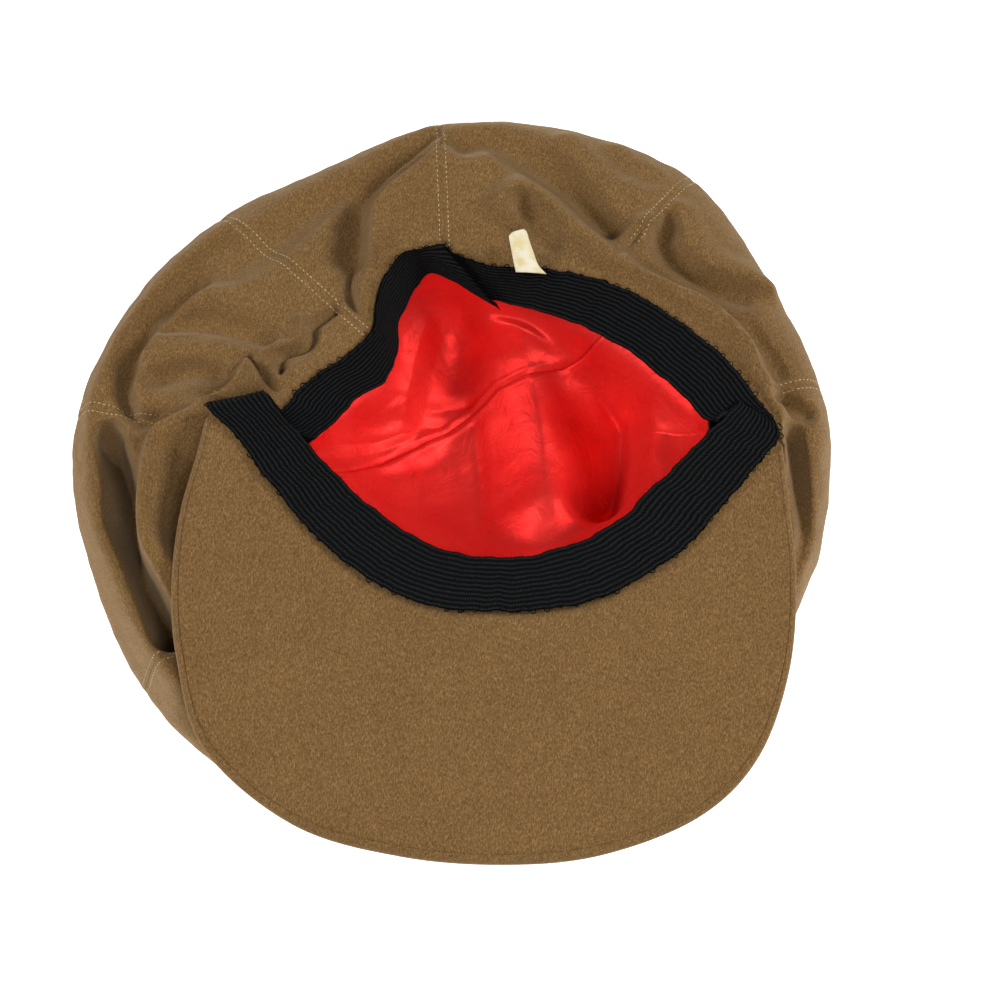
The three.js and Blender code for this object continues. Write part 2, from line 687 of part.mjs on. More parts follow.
// A folded ribbon tag caught in the elastic's sewn edge and lying back over the wool.
// Columns: left x, y, z, right x, y, z of the ribbon's upper face.
function makeTag() {
  const thickness = 0.9;
  const bow = 0.3;
  const rows = [
    [20.8, 59.6, 54.7, 29.2, 58.6, 54.9],
    [19.9, 62.3, 55.8, 28.0, 61.9, 56.1],
    [19.2, 65.6, 57.1, 26.2, 66.0, 57.5],
    [18.6, 69.3, 58.2, 24.6, 70.2, 58.6],
    [18.0, 71.8, 58.8, 23.6, 73.4, 59.3],
  ];
  const outer = rows.map(([ax, ay, az, bx, by, bz]) => [0, 0.5, 1].map((share) => new THREE.Vector3(
    mix(ax, bx, share), mix(ay, by, share), mix(az, bz, share) + bow * Math.sin(Math.PI * share))));
  const inner = outer.map((row) => row.map((point) => point.clone().setZ(point.z - thickness)));
  return wallBetween(outer, inner);
}

function material(colour, roughness) {
  return new THREE.MeshStandardMaterial({ color: colour, roughness, metalness: 0 });
}

const cap = new THREE.Group();
cap.position.set(origin[0], origin[1], 0);

function addPiece(name, geometry, finish) {
  const piece = new THREE.Mesh(geometry, finish);
  piece.name = name;
  cap.add(piece);
}

const wool = material(woolColour, 0.95);
const satin = material(satinColour, 0.35);
const elastic = material(elasticColour, 0.8);
const panelColumns = [12, 13, 11, 6, 5, 6, 13, 12];
panelColumns.forEach((columns, number) => {
  addPiece(`crown_panel_${number + 1}`, makePanel(number, columns), wool);
});
addPiece('visor_under_cloth', makeVisorPly(true), wool);
addPiece('visor_top_cloth', makeVisorPly(false), wool);
addPiece('elastic_band', makeElastic(), elastic);
addPiece('lining_back', makeLiningHalf(liningSeams[0], liningSeams[1]), satin);
addPiece('lining_front', makeLiningHalf(liningSeams[1], liningSeams[0] + panelCount), satin);
addPiece('size_tag', makeTag(), material(tagColour, 0.7));

export default cap;
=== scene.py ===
import math
import random

import bmesh
import bpy
import numpy as np
from mathutils import Matrix, Vector


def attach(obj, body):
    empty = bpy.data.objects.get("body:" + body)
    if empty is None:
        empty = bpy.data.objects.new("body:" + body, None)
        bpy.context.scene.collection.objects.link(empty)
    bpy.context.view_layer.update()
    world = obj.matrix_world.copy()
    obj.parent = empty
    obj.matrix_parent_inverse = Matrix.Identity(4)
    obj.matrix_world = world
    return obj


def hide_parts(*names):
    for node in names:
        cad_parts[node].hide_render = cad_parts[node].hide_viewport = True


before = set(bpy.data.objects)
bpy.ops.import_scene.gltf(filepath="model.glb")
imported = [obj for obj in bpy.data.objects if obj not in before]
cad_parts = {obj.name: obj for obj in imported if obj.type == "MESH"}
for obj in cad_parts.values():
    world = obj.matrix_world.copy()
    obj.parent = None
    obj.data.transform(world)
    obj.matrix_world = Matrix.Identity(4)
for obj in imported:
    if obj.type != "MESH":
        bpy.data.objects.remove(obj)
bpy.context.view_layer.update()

# The cap lies on a plain pale floor under soft studio light. The camera looks down on it
# from the visor's side, 68 degrees above the floor, as the photograph was taken.
WHITE = (1.0, 1.0, 1.0, 1.0)
FLOOR_SIZE = 6.0
FLOOR_COLOUR = (0.88, 0.88, 0.88, 1.0)
FLOOR_GLOW = 0.7
SKY_STRENGTH = 0.1
LIGHTS_AIM = Vector((0.0, 0.0, 0.02))
CAMERA_HEIGHT_ANGLE = math.radians(68.0)
CAMERA_DISTANCE = 0.9
CAMERA_TARGET = Vector((0.01603, -0.00547, 0.025))
CAMERA_LENS = 100.0


def set_inputs(node, **inputs):
    """Sets a node's sockets, each named with low lines for its spaces."""
    for name, value in inputs.items():
        node.inputs[name.replace("_", " ")].default_value = value


def material_nodes(name):
    material = bpy.data.materials.new(name)
    material.use_nodes = True
    tree = material.node_tree
    return material, tree, tree.nodes["Principled BSDF"]


def make_floor():
    shape = bmesh.new()
    bmesh.ops.create_grid(shape, x_segments=1, y_segments=1, size=FLOOR_SIZE / 2)
    mesh = bpy.data.meshes.new("floor")
    shape.to_mesh(mesh)
    shape.free()
    floor = bpy.data.objects.new("floor", mesh)
    bpy.context.scene.collection.objects.link(floor)
    pale, _, shader = material_nodes("pale_floor")
    set_inputs(shader, Base_Color=FLOOR_COLOUR, Roughness=0.9)
    set_inputs(shader, Emission_Color=WHITE, Emission_Strength=FLOOR_GLOW)
    mesh.materials.append(pale)


def make_camera():
    camera = bpy.data.objects.new("camera", bpy.data.cameras.new("camera"))
    camera.data.lens = CAMERA_LENS
    back = Vector((0.0, -math.cos(CAMERA_HEIGHT_ANGLE), math.sin(CAMERA_HEIGHT_ANGLE)))
    camera.location = CAMERA_TARGET + back * CAMERA_DISTANCE
    camera.rotation_euler = (math.pi / 2 - CAMERA_HEIGHT_ANGLE, 0.0, 0.0)
    bpy.context.scene.collection.objects.link(camera)
    bpy.context.scene.camera = camera


def add_softbox(name, place, width, power):
    light = bpy.data.objects.new(name, bpy.data.lights.new(name, "AREA"))
    light.data.shape = "RECTANGLE"
    light.data.size = width
    light.data.size_y = width
    light.data.energy = power
    light.location = place
    direction = LIGHTS_AIM - Vector(place)
    light.rotation_euler = direction.to_track_quat("-Z", "Y").to_euler()
    bpy.context.scene.collection.objects.link(light)


def light_room():
    world = bpy.data.worlds.new("studio")
    world.use_nodes = True
    set_inputs(world.node_tree.nodes["Background"], Color=WHITE, Strength=SKY_STRENGTH)
    bpy.context.scene.world = world
    bpy.context.scene.view_settings.view_transform = "Standard"
    add_softbox("left_softbox", (-0.96, 0.12, 0.68), 0.45, 8.5)
    add_softbox("right_softbox", (0.89, 0.24, 0.77), 0.4, 10.0)
    add_softbox("front_softbox", (0.1, -0.7, 1.0), 0.5, 8.0)


make_floor()
make_camera()
light_room()

# The wool crown is eight leaf-shaped panels of brushed melton cloth, seamed edge to edge and
# topstitched. Turned upside down it rolls out from the sewn edge, over a crest, and lies flat
# where it rests. The elastic's two edges come first, because every panel starts under them.
MM = 0.001
# The tables are in millimetres. This shift puts the middle of the cap's box on the origin.
ORIGIN_SHIFT = np.array([0.73, 1.53, 0.0])
PANELS = 8
WALL = 2.2
ELASTIC_THICKNESS = 1.0
ELASTIC_CLEARANCE = 0.5
SEWN_MARGIN = 1.5
# The elastic's ends lap between these two seam numbers, and the cloth reaches further in there.
LAP = (7.7, 0.25)
LAP_MARGIN = 2.2
LAP_BULGE = 3.8
VISOR_CORNERS = (2.0, 5.75)
VISOR_PLY = 2.0
PLY_GAP = 0.3
VISOR_THICKNESS = 2 * VISOR_PLY + PLY_GAP
VISOR_CLEARANCE = 0.5
VISOR_MIDDLE = (13.0, -55.0)
VISOR_LEVEL = 48.0
VISOR_TILT = 0.12
VISOR_CURL = 0.00074
# Columns: seam number, outer x, y, z, inner x, y, z.
ELASTIC_ROWS = [
    (-0.05, -3.9, 71.0, 54.4, 14.3, 52.2, 45.4),
    (0.12, -11.3, 69.2, 53.8, -5.3, 65.3, 44.4),
    (0.25, -16.5, 68.2, 52.8, -10.9, 63.0, 41.0),
    (0.5, -23.0, 59.4, 50.5, -17.2, 53.0, 36.5),
    (0.75, -24.8, 51.6, 49.5, -18.1, 45.3, 35.5),
    (1.0, -26.3, 42.0, 49.0, -18.6, 37.6, 36.5),
    (1.15, -33.2, 34.5, 49.0, -21.7, 29.3, 39.0),
    (1.42, -46.4, 23.4, 50.5, -31.6, 19.1, 44.5),
    (1.62, -56.1, 11.3, 52.5, -42.5, 4.9, 49.0),
    (1.75, -65.3, 11.6, 55.0, -49.7, 5.5, 51.5),
    (1.88, -73.4, 12.6, 57.5, -56.0, 13.3, 55.0),
    (1.95, -77.0, 11.4, 60.3, -59.3, 16.8, 58.0),
    (2.0, -76.2, 8.6, 62.6, -57.8, 14.0, 60.4),
    (2.25, -67.4, 0.2, 60.8, -50.0, 5.0, 57.4),
    (2.5, -59.0, -11.4, 58.5, -41.0, -5.0, 55.8),
    (3.0, -37.5, -35.3, 53.7, -20.7, -23.9, 52.0),
    (3.5, -12.0, -50.6, 50.4, -2.0, -34.0, 50.1),
    (4.0, 15.3, -54.2, 49.5, 15.9, -36.1, 49.6),
    (4.5, 45.3, -50.4, 50.7, 34.0, -33.5, 50.4),
    (5.0, 71.2, -36.1, 54.2, 52.0, -25.0, 52.4),
    (5.25, 82.2, -24.7, 56.6, 61.5, -16.0, 54.0),
    (5.5, 92.6, -13.0, 59.1, 73.5, -4.5, 56.4),
    (5.75, 102.5, -0.5, 61.8, 86.6, 8.1, 60.5),
    (5.8, 102.1, 4.2, 61.0, 90.6, 12.4, 59.5),
    (5.92, 97.3, 13.1, 58.6, 82.2, 7.5, 55.6),
    (6.15, 87.5, 28.3, 56.5, 75.0, 15.3, 53.0),
    (6.5, 71.4, 43.6, 55.5, 57.7, 33.8, 50.0),
    (6.9, 52.4, 55.6, 55.0, 40.2, 45.6, 47.0),
    (7.3, 31.2, 61.9, 54.0, 24.4, 52.3, 45.0),
    (7.7, 12.1, 63.8, 52.5, 10.7, 57.5, 42.5),
    (7.95, -0.5, 68.4, 52.1, -0.2, 64.2, 41.3),
]
# Columns: seam number, widest x, y, z, crest share of the way out, crest z.
CROWN_ROWS = [
    (0.0, -5, 126.5, 28, 0.55, 52),
    (0.5, -48.5, 108.3, 28, 0.55, 48),
    (1.0, -79.5, 92, 27, 0.55, 47),
    (1.5, -107.5, 61.5, 26, 0.55, 46),
    (2.0, -123, 20, 25, 0.6, 45),
    (2.5, -119.3, -21, 22, 0.7, 43),
    (3.0, -97.2, -70.6, 20, 0.6, 40),
    (3.5, -62, -101, 20, 0.45, 37),
    (4.0, -4, -117, 20, 0.4, 37),
    (4.5, 48, -107, 20, 0.4, 37),
    (5.0, 90, -75, 22, 0.5, 39),
    (5.5, 116, -32, 26, 0.6, 47),
    (5.8, 122.6, 5, 28, 0.6, 49),
    (6.0, 120.5, 27, 29, 0.6, 48),
    (6.5, 107, 63, 29, 0.55, 47),
    (7.0, 81, 105.3, 29, 0.55, 49),
    (7.5, 38.5, 124.6, 28, 0.55, 52),
]
# Columns: level, width to the left of the path, width to its right, crispness, path.
CROWN_FOLDS = {
    "left outer roll": (43, 9, 7, 0, [(-75, 83), (-89, 71), (-100, 56), (-108, 41), (-114, 21), (-114, 4)]),
    "outer valley": (
        37, 8, 8, 0,
        [(-74, 74), (-80, 69), (-89, 59), (-98, 50), (-103, 40), (-105, 30), (-103, 21), (-98, 15)],
    ),
    "left long ridge": (
        48, 13, 5, 0.2,
        [(-66, 60), (-80, 57), (-89, 49), (-96, 40), (-99, 32), (-101, 25), (-99, 18)],
    ),
    "upper left hollow": (42, 9, 5, 0, [(-93, 45), (-84, 46), (-72, 44), (-62, 41)]),
    "left short ridge": (48, 4, 8, 0.4, [(-98, 36), (-90, 37), (-83, 38), (-75, 38), (-66, 35)]),
    "lower left hollow": (42, 5, 7, 0, [(-94, 27), (-85, 30), (-77, 29)]),
    "corner ridge": (55, 8, 3.5, 0.6, [(-64, 32), (-67, 28), (-69, 23), (-74, 18), (-80, 16)]),
    "corner crease": (45, 3.5, 3.5, 1, [(-65, 34), (-60, 26), (-57, 22), (-52, 17)]),
    "crease ridge": (51, 3, 4, 0.3, [(-58, 30), (-54, 25), (-49, 21)]),
    "winding ridge": (50, 4, 3, 0.3, [(-61, 35), (-56, 37), (-51, 38), (-49, 42), (-49, 47)]),
    "winding crease": (
        42, 3.5, 3.5, 1,
        [(-38, 51), (-42, 48), (-45, 45), (-45, 41), (-47, 37), (-53, 35), (-55, 33), (-55, 28)],
    ),
    "rim ridge": (51, 4, 5, 0.3, [(-53, 27), (-50, 29), (-44, 31), (-38, 32)]),
    "front left roll": (
        43, 10, 9, 0,
        [(-113, -7), (-110, -22), (-105, -36), (-99, -50), (-93, -62), (-85, -74)],
    ),
    "deep gap": (
        14, 5, 8, 0.3,
        [(-109, 8), (-106, 0), (-104, -9), (-103, -19), (-99, -29), (-95, -38), (-91, -48), (-87, -58)],
    ),
    "overhung strip": (
        56, 17, 4, 0.5,
        [(-77, 15), (-85, 11), (-94, 6), (-96, 1), (-97, -8), (-98, -18), (-97, -30), (-92, -40), (-86, -50)],
    ),
    "back left hollow": (41, 12, 12, 0, [(-75, 68), (-63, 75), (-51, 86), (-38, 94)]),
    "back left ridge": (48, 8, 8, 0, [(-48, 70), (-40, 78), (-34, 87)]),
    "hollow beside the lap": (
        41, 5, 12, 0.3,
        [(-8, 116), (-16, 108), (-24, 100), (-30, 92), (-31, 85), (-31, 78), (-32, 70)],
    ),
    "lap edge": (
        57, 20, 3.5, 1,
        [(5, 112), (-2, 108), (-9, 102), (-17, 95), (-23, 89), (-26, 84), (-26, 78), (-26, 70), (-23, 64)],
    ),
    "notch crease": (41, 3.5, 4, 0.8, [(-32, 70), (-34, 62), (-33, 55), (-28, 48)]),
    "notch ridge": (51, 3, 3, 0.2, [(-27, 63), (-29, 58), (-29, 53), (-27, 49)]),
    "broad back hollow": (
        43, 12, 11, 0,
        [(4, 112), (12, 113), (20, 109), (29, 103), (39, 95), (46, 88), (53, 80)],
    ),
    "broad back ridge": (
        57, 8, 12, 0.2,
        [(16, 88), (19, 91), (24, 91), (31, 86), (38, 79), (45, 73), (53, 65)],
    ),
    "hollow inside the ridge": (49, 7, 7, 0, [(23, 86), (27, 80), (31, 72)]),
    "hollow by the tag": (50, 6, 7, 0, [(6, 70), (12, 73), (18, 77)]),
    "back right ridge": (50, 8, 8, 0, [(38, 112), (45, 103), (51, 94), (56, 86)]),
    "back right hollow": (45, 7, 8, 0, [(54, 110), (58, 104), (65, 101)]),
    "curled ridge": (52, 6, 4, 0.5, [(54, 66), (54, 72), (57, 77), (61, 81), (68, 83), (74, 86)]),
    "right hollow": (41, 8, 7, 0, [(72, 83), (69, 77), (72, 70), (79, 64), (87, 59), (94, 56)]),
    "right ridge": (49, 9, 5, 0.2, [(74, 86), (78, 75), (83, 68), (89, 66), (96, 63), (103, 59)]),
    "collar": (
        57, 5, 12, 0.4,
        [
            (50, 68), (62, 60), (72, 55), (83, 49), (92, 40),
            (96, 34), (98, 27), (101, 21), (104, 13), (104, -5),
        ],
    ),
    "collar valley": (46, 4, 5, 0.1, [(97, 44), (101, 36), (105, 28)]),
    "side crease": (44, 5, 6, 0.1, [(106, 18), (109, 16), (113, 14)]),
    "gap beside the visor": (40, 5, 4, 0.3, [(108, 6), (109, -5), (110, -14), (111, -26), (109, -38)]),
}
PATH_DENSITY = 6
RIM_EASE = 0.05
RIM_PLACES = 7
# How far past the visor's corners, in seams, the visor still presses the rim and the crown down.
RIM_DIP_SHIFT = 0.04
RIM_DIP_EASE = 0.14
CROWN_DIP_EASE = 0.2
# Steps run down a panel, from 0 at the rim to 1 in the middle of the flattened floor.
CREST_STEP = 0.3
FOLDS_GROW = (0.0, 0.12)
FOLDS_FADE = (0.46, 0.6)
FOLDED_STEP = 0.58
WIDEST_STEP = 0.62
FLOOR_STEP = 0.78
CONTACT_SHARE = 0.8
PINHOLE_SHARE = 0.015
PANEL_COLUMNS = (84, 150, 120, 60, 60, 100, 100, 84)
SEAM_CROWDING = 0.5
FOLDED_ROWS = 112
TURN_ROWS = 24
FLOOR_ROWS = 8


def smooth_step(start, end, value):
    share = np.clip((value - start) / (end - start), 0.0, 1.0)
    return share * share * (3 - 2 * share)


def mix(start, end, share):
    return start + (end - start) * share


def read_table(rows, at, period=0.0):
    """A smooth curve through a table's rows, read where the first column equals at."""
    rows = np.array(rows, dtype=float)
    at = np.asarray(at, dtype=float)
    if period:
        at = rows[0, 0] + (at - rows[0, 0]) % period
        turn = np.zeros(rows.shape[1])
        turn[0] = period
        rows = np.vstack([rows - turn, rows, rows + turn])
    keys = rows[:, 0]
    values = rows[:, 1:]
    slopes = np.empty_like(values)
    slopes[1:-1] = (values[2:] - values[:-2]) / (keys[2:] - keys[:-2])[:, None]
    slopes[0] = (values[1] - values[0]) / (keys[1] - keys[0])
    slopes[-1] = (values[-1] - values[-2]) / (keys[-1] - keys[-2])
    index = np.clip(np.searchsorted(keys, at, side="right") - 1, 0, len(keys) - 2)
    length = keys[index + 1] - keys[index]
    s = ((at - keys[index]) / length)[..., None]
    length = length[..., None]
    return (
        values[index] * (2 * s**3 - 3 * s**2 + 1)
        + slopes[index] * length * (s**3 - 2 * s**2 + s)
        + values[index + 1] * (3 * s**2 - 2 * s**3)
        + slopes[index + 1] * length * (s**3 - s**2)
    )


def smooth_curve(points, count):
    """A smooth curve through points at even keys, read at count places."""
    keyed = np.column_stack([np.arange(len(points)), np.array(points, dtype=float)])
    return read_table(keyed, np.linspace(0, len(points) - 1, count))


def unit(vectors):
    length = np.linalg.norm(vectors, axis=-1, keepdims=True)
    return vectors / np.maximum(length, 1e-9)


def lap_share(seam):
    """How much of the elastic's lap is behind a place: over 1 outside the lap."""
    return (seam - LAP[0]) % PANELS / (LAP[1] + PANELS - LAP[0])


def sewn_edge(seam):
    """The sewn edge all the way round: across the elastic's lap it is a plain shallow curve."""
    seam = np.asarray(seam, dtype=float) % PANELS
    share = lap_share(seam)[..., None]
    start, end = read_table(ELASTIC_ROWS, np.array(LAP))
    bulge = LAP_BULGE * np.sin(np.pi * np.clip(share, 0, 1)) * np.array([0, 1, 0, 0, 1, 0])
    in_lap = (share > 0) & (share < 1)
    return np.where(in_lap, mix(start, end, share) + bulge, read_table(ELASTIC_ROWS, seam))


def elastic_frame(edge_at, seam):
    """The elastic's two edges at one place, and the direction square to its face."""
    reach = 0.02
    here = edge_at(seam)
    outer, inner = here[..., :3], here[..., 3:]
    before, after = edge_at(seam - reach), edge_at(seam + reach)
    along = (after - before)[..., :3] + (after - before)[..., 3:]
    normal = unit(np.cross(along, inner - outer))
    normal = np.where(normal[..., 2:] < 0, -normal, normal)
    return outer, inner, normal


def under_elastic(seam, inward, depth):
    outer, inner, normal = elastic_frame(sewn_edge, seam)
    width = np.linalg.norm(inner - outer, axis=-1, keepdims=True)
    return mix(outer, inner, np.asarray(inward)[..., None] / width) - normal * depth


def under_visor(seam, ease):
    wrapped = seam % PANELS
    start, end = VISOR_CORNERS
    return smooth_step(start - ease, start, wrapped) * (1 - smooth_step(end, end + ease, wrapped))


def lap_reach(seam):
    """How much further in the cloth reaches under the elastic's lap."""
    return LAP_MARGIN * np.sin(np.pi * np.clip(lap_share(seam), 0, 1))


def rim_point(seam):
    """The cloth's sewn edge, which rounds off the elastic's sharp bends."""
    seam = np.asarray(seam, dtype=float)
    depth = ELASTIC_THICKNESS + ELASTIC_CLEARANCE
    nearby = [seam + shift for shift in np.linspace(-RIM_EASE, RIM_EASE, RIM_PLACES)]
    point = np.mean([under_elastic(at, SEWN_MARGIN + lap_reach(at), depth) for at in nearby], axis=0)
    dip = under_visor(seam + RIM_DIP_SHIFT, RIM_DIP_EASE)
    point[..., 2] -= dip * (VISOR_THICKNESS + VISOR_CLEARANCE)
    return point


def visor_height(x, y):
    """The height of the visor's upward face: tilted down to the front, its sides curling up."""
    middle_x, middle_y = VISOR_MIDDLE
    return VISOR_LEVEL + VISOR_TILT * (y - middle_y) + VISOR_CURL * (x - middle_x) ** 2


def path_distance(path, x, y):
    """How far each place is from a path in plan, and its side: 1 to the left, -1 to the right."""
    nearest = np.full(x.shape, np.inf)
    side = np.zeros(x.shape)
    last = len(path) - 2
    for k, ((ax, ay), (bx, by)) in enumerate(zip(path[:-1], path[1:])):
        dx, dy = bx - ax, by - ay
        along = np.clip(((x - ax) * dx + (y - ay) * dy) / (dx * dx + dy * dy), 0, 1)
        off_x, off_y = x - ax - along * dx, y - ay - along * dy
        distance = np.hypot(off_x, off_y)
        turn = (dx * off_y - dy * off_x) / np.maximum(np.hypot(dx, dy) * distance, 1e-9)
        closer = distance < nearest
        nearest = np.where(closer, distance, nearest)
        side = np.where(closer, turn if k in (0, last) else np.sign(turn), side)
    return nearest, side


def fold_strength(fold, x, y):
    """How strongly a fold acts: 1 on its path, 0 beyond its width. Its narrow side is the crisp one."""
    _, left, right, crispness, path = fold
    nearest, side = path_distance(smooth_curve(path, PATH_DENSITY * len(path)), x, y)
    width = mix(right, left, 0.5 + 0.5 * side)
    reach = np.clip(nearest / width, 0, 1)
    return mix(0.5 + 0.5 * np.cos(np.pi * reach), (1 - reach) ** 2, crispness * min(left, right) / width)


def folded_height(folds, x, y, z, mask):
    for fold in folds.values():
        z = mix(z, fold[0], fold_strength(fold, x, y) * mask)
    return z


def crown_point(seam, step):
    """A point of the crown, for a seam number and a step down the panel."""
    seam, step = np.broadcast_arrays(np.asarray(seam, float), np.asarray(step, float))
    rim = rim_point(seam)
    wide_x, wide_y, wide_z, crest_share, crest_z = np.moveaxis(read_table(CROWN_ROWS, seam, PANELS), -1, 0)
    rise = np.sin(np.clip(step / CREST_STEP, 0, 1) * np.pi / 2)
    fall = np.clip((step - CREST_STEP) / (WIDEST_STEP - CREST_STEP), 0, 1) * np.pi / 2
    share = np.where(step < CREST_STEP, crest_share * step / CREST_STEP, mix(crest_share, 1, np.sin(fall)))
    height = np.where(step < CREST_STEP, mix(rim[..., 2], crest_z, rise), mix(wide_z, crest_z, np.cos(fall)))
    x = mix(rim[..., 0], wide_x, share)
    y = mix(rim[..., 1], wide_y, share)
    mask = smooth_step(*FOLDS_GROW, step) * (1 - smooth_step(*FOLDS_FADE, step))
    height = folded_height(CROWN_FOLDS, x, y, height, mask)
    ceiling = visor_height(x, y) - VISOR_THICKNESS - VISOR_CLEARANCE
    height = height - under_visor(seam, CROWN_DIP_EASE) * np.maximum(0, height - ceiling)
    turn = np.clip((step - WIDEST_STEP) / (FLOOR_STEP - WIDEST_STEP), 0, 1) * np.pi / 2
    shrink = 1 - (1 - CONTACT_SHARE) * (1 - np.cos(turn))
    flat = np.clip((step - FLOOR_STEP) / (1 - FLOOR_STEP), 0, 1)
    shrink = np.where(step > FLOOR_STEP, mix(CONTACT_SHARE, PINHOLE_SHARE, flat), shrink)
    below = step > WIDEST_STEP
    x = np.where(below, wide_x * shrink, x)
    y = np.where(below, wide_y * shrink, y)
    height = np.where(below, wide_z * (1 - np.sin(turn)), height)
    return np.stack([x, y, height], axis=-1)


def grid_normals(points):
    down = np.gradient(points, axis=0)
    across = np.gradient(points, axis=1)
    return unit(np.cross(across, down))


def finish_piece(name, shape, material, nodes=()):
    """Makes a finished shape a piece that rides the cap, in place of the plain solids it dresses."""
    mesh = bpy.data.meshes.new(name)
    shape.to_mesh(mesh)
    shape.free()
    mesh.materials.append(material)
    piece = bpy.data.objects.new(name, mesh)
    bpy.context.scene.collection.objects.link(piece)
    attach(piece, "root")
    if nodes:
        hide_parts(*nodes)
    return piece


def grid_piece(name, points, material, node):
    """A mesh over a grid of points in millimetres, rows by columns, with a matching UV map."""
    rows, columns = points.shape[:2]
    shape = bmesh.new()
    bmesh.ops.create_grid(shape, x_segments=columns - 1, y_segments=rows - 1, size=0.5)
    uv_layer = shape.loops.layers.uv.new("cloth")
    places = {}
    for vertex in shape.verts:
        column = round((vertex.co.x + 0.5) * (columns - 1))
        row = round((vertex.co.y + 0.5) * (rows - 1))
        places[vertex.index] = (column, row)
    moved = (points + ORIGIN_SHIFT) * MM
    for vertex in shape.verts:
        column, row = places[vertex.index]
        vertex.co = moved[row, column]
    for face in shape.faces:
        face.smooth = True
        for loop in face.loops:
            column, row = places[loop.vert.index]
            loop[uv_layer].uv = (column / (columns - 1), row / (rows - 1))
    bmesh.ops.remove_doubles(shape, verts=shape.verts, dist=1e-6)
    return finish_piece(name, shape, material, [node])


def thicken(piece, thickness):
    """Gives a sheet its wall, grown away from its outer face."""
    wall = piece.modifiers.new("wall", "SOLIDIFY")
    wall.thickness = thickness * MM
    wall.offset = -1.0
    wall.use_even_offset = False


def turn_outwards(points, upward=True):
    """Orders a grid so that most of its faces look up, or down."""
    looks_up = grid_normals(points)[..., 2].mean() > 0
    return points if looks_up == upward else points[:, ::-1]


def add_node(tree, kind, settings=(), **inputs):
    node = tree.nodes.new(kind)
    for key, value in dict(settings).items():
        setattr(node, key, value)
    set_inputs(node, **inputs)
    return node


def object_place(tree):
    return add_node(tree, "ShaderNodeTexCoord").outputs["Object"]


def noise(tree, place, **inputs):
    node = add_node(tree, "ShaderNodeTexNoise", **inputs)
    tree.links.new(place, node.inputs["Vector"])
    return node.outputs["Fac"]


def bump(tree, height, strength, distance, beneath=None):
    """Fine relief, laid over another relief where one is given."""
    node = add_node(tree, "ShaderNodeBump", Strength=strength, Distance=distance)
    tree.links.new(height, node.inputs["Height"])
    if beneath is not None:
        tree.links.new(beneath, node.inputs["Normal"])
    return node.outputs["Normal"]


def colour_ramp(tree, fraction, stops):
    ramp = tree.nodes.new("ShaderNodeValToRGB")
    ramp.color_ramp.elements[0].position = stops[0][0]
    ramp.color_ramp.elements[0].color = (*stops[0][1], 1.0)
    ramp.color_ramp.elements[1].position = stops[-1][0]
    ramp.color_ramp.elements[1].color = (*stops[-1][1], 1.0)
    for position, colour in stops[1:-1]:
        element = ramp.color_ramp.elements.new(position)
        element.color = (*colour, 1.0)
    tree.links.new(fraction, ramp.inputs["Fac"])
    return ramp.outputs["Color"]


def multiply_colours(tree, first, second):
    node = add_node(tree, "ShaderNodeMix", {"data_type": "RGBA", "blend_type": "MULTIPLY"}, Factor=1.0)
    colour_inputs = [socket for socket in node.inputs if socket.type == "RGBA"]
    tree.links.new(first, colour_inputs[0])
    tree.links.new(second, colour_inputs[1])
    return next(socket for socket in node.outputs if socket.type == "RGBA")


NAP_ANGLE = math.radians(-35)
NAP_STRETCH = 0.4
# Columns: level of the noise, colour.
WOOL_FIBRES = [(0.3, (0.105, 0.053, 0.015)), (0.5, (0.178, 0.097, 0.031)), (0.7, (0.296, 0.178, 0.071))]
WOOL_FLECKS = [(0.32, (0.78, 0.75, 0.72)), (0.66, (1.0, 1.0, 1.0))]
WOOL_PATCHES = [(0.3, (0.92, 0.90, 0.89)), (0.7, (1.0, 1.0, 1.0))]


def brushed_wool():
    """Tan melton wool: a felted nap of mixed fibres, mottled at half a millimetre."""
    material, tree, shader = material_nodes("brushed_wool")
    place = object_place(tree)
    brushed = add_node(tree, "ShaderNodeMapping")
    set_inputs(brushed, Rotation=(0.0, 0.0, NAP_ANGLE), Scale=(1.0, NAP_STRETCH, 1.0))
    tree.links.new(place, brushed.inputs["Vector"])
    fibre = noise(tree, brushed.outputs["Vector"], Scale=2600.0, Detail=3.0, Roughness=0.6, Distortion=0.5)
    fleck = noise(tree, place, Scale=1100.0, Detail=3.0, Roughness=0.6)
    patch = noise(tree, place, Scale=45.0, Detail=3.0, Roughness=0.5)
    mottled = multiply_colours(
        tree, colour_ramp(tree, fibre, WOOL_FIBRES), colour_ramp(tree, fleck, WOOL_FLECKS)
    )
    colour = multiply_colours(tree, mottled, colour_ramp(tree, patch, WOOL_PATCHES))
    tree.links.new(colour, shader.inputs["Base Color"])
    nap = bump(tree, fibre, strength=0.55, distance=0.0005)
    clumps = bump(tree, fleck, strength=0.35, distance=0.0009, beneath=nap)
    tree.links.new(clumps, shader.inputs["Normal"])
    set_inputs(shader, Roughness=0.95, Specular_IOR_Level=0.2)
    set_inputs(shader, Sheen_Weight=0.3, Sheen_Roughness=0.5, Sheen_Tint=(0.9, 0.68, 0.42, 1.0))
    return material


# How far from the seam each row of stitches runs.
STITCH_OFFSET = 1.5
# Depth and width of the lines that the seam and its stitches press into the cloth.
SEAM_LINE = (0.3, 1.4)
STITCH_LINE = (0.14, 0.7)
# Columns: strength, then for each of two waves its rate along x, y and z and its start.
RIPPLES = [
    (1.0, 1.9, 1.1, 0.0, 0.7, -0.8, 1.3, 0.9, 2.1),
    (0.6, 3.7, 0.0, -2.3, 1.0, 0.0, 3.1, 1.7, 0.0),
    (0.35, 2.9, 6.1, 4.2, 0.0, 5.3, -2.2, 0.0, 0.0),
]
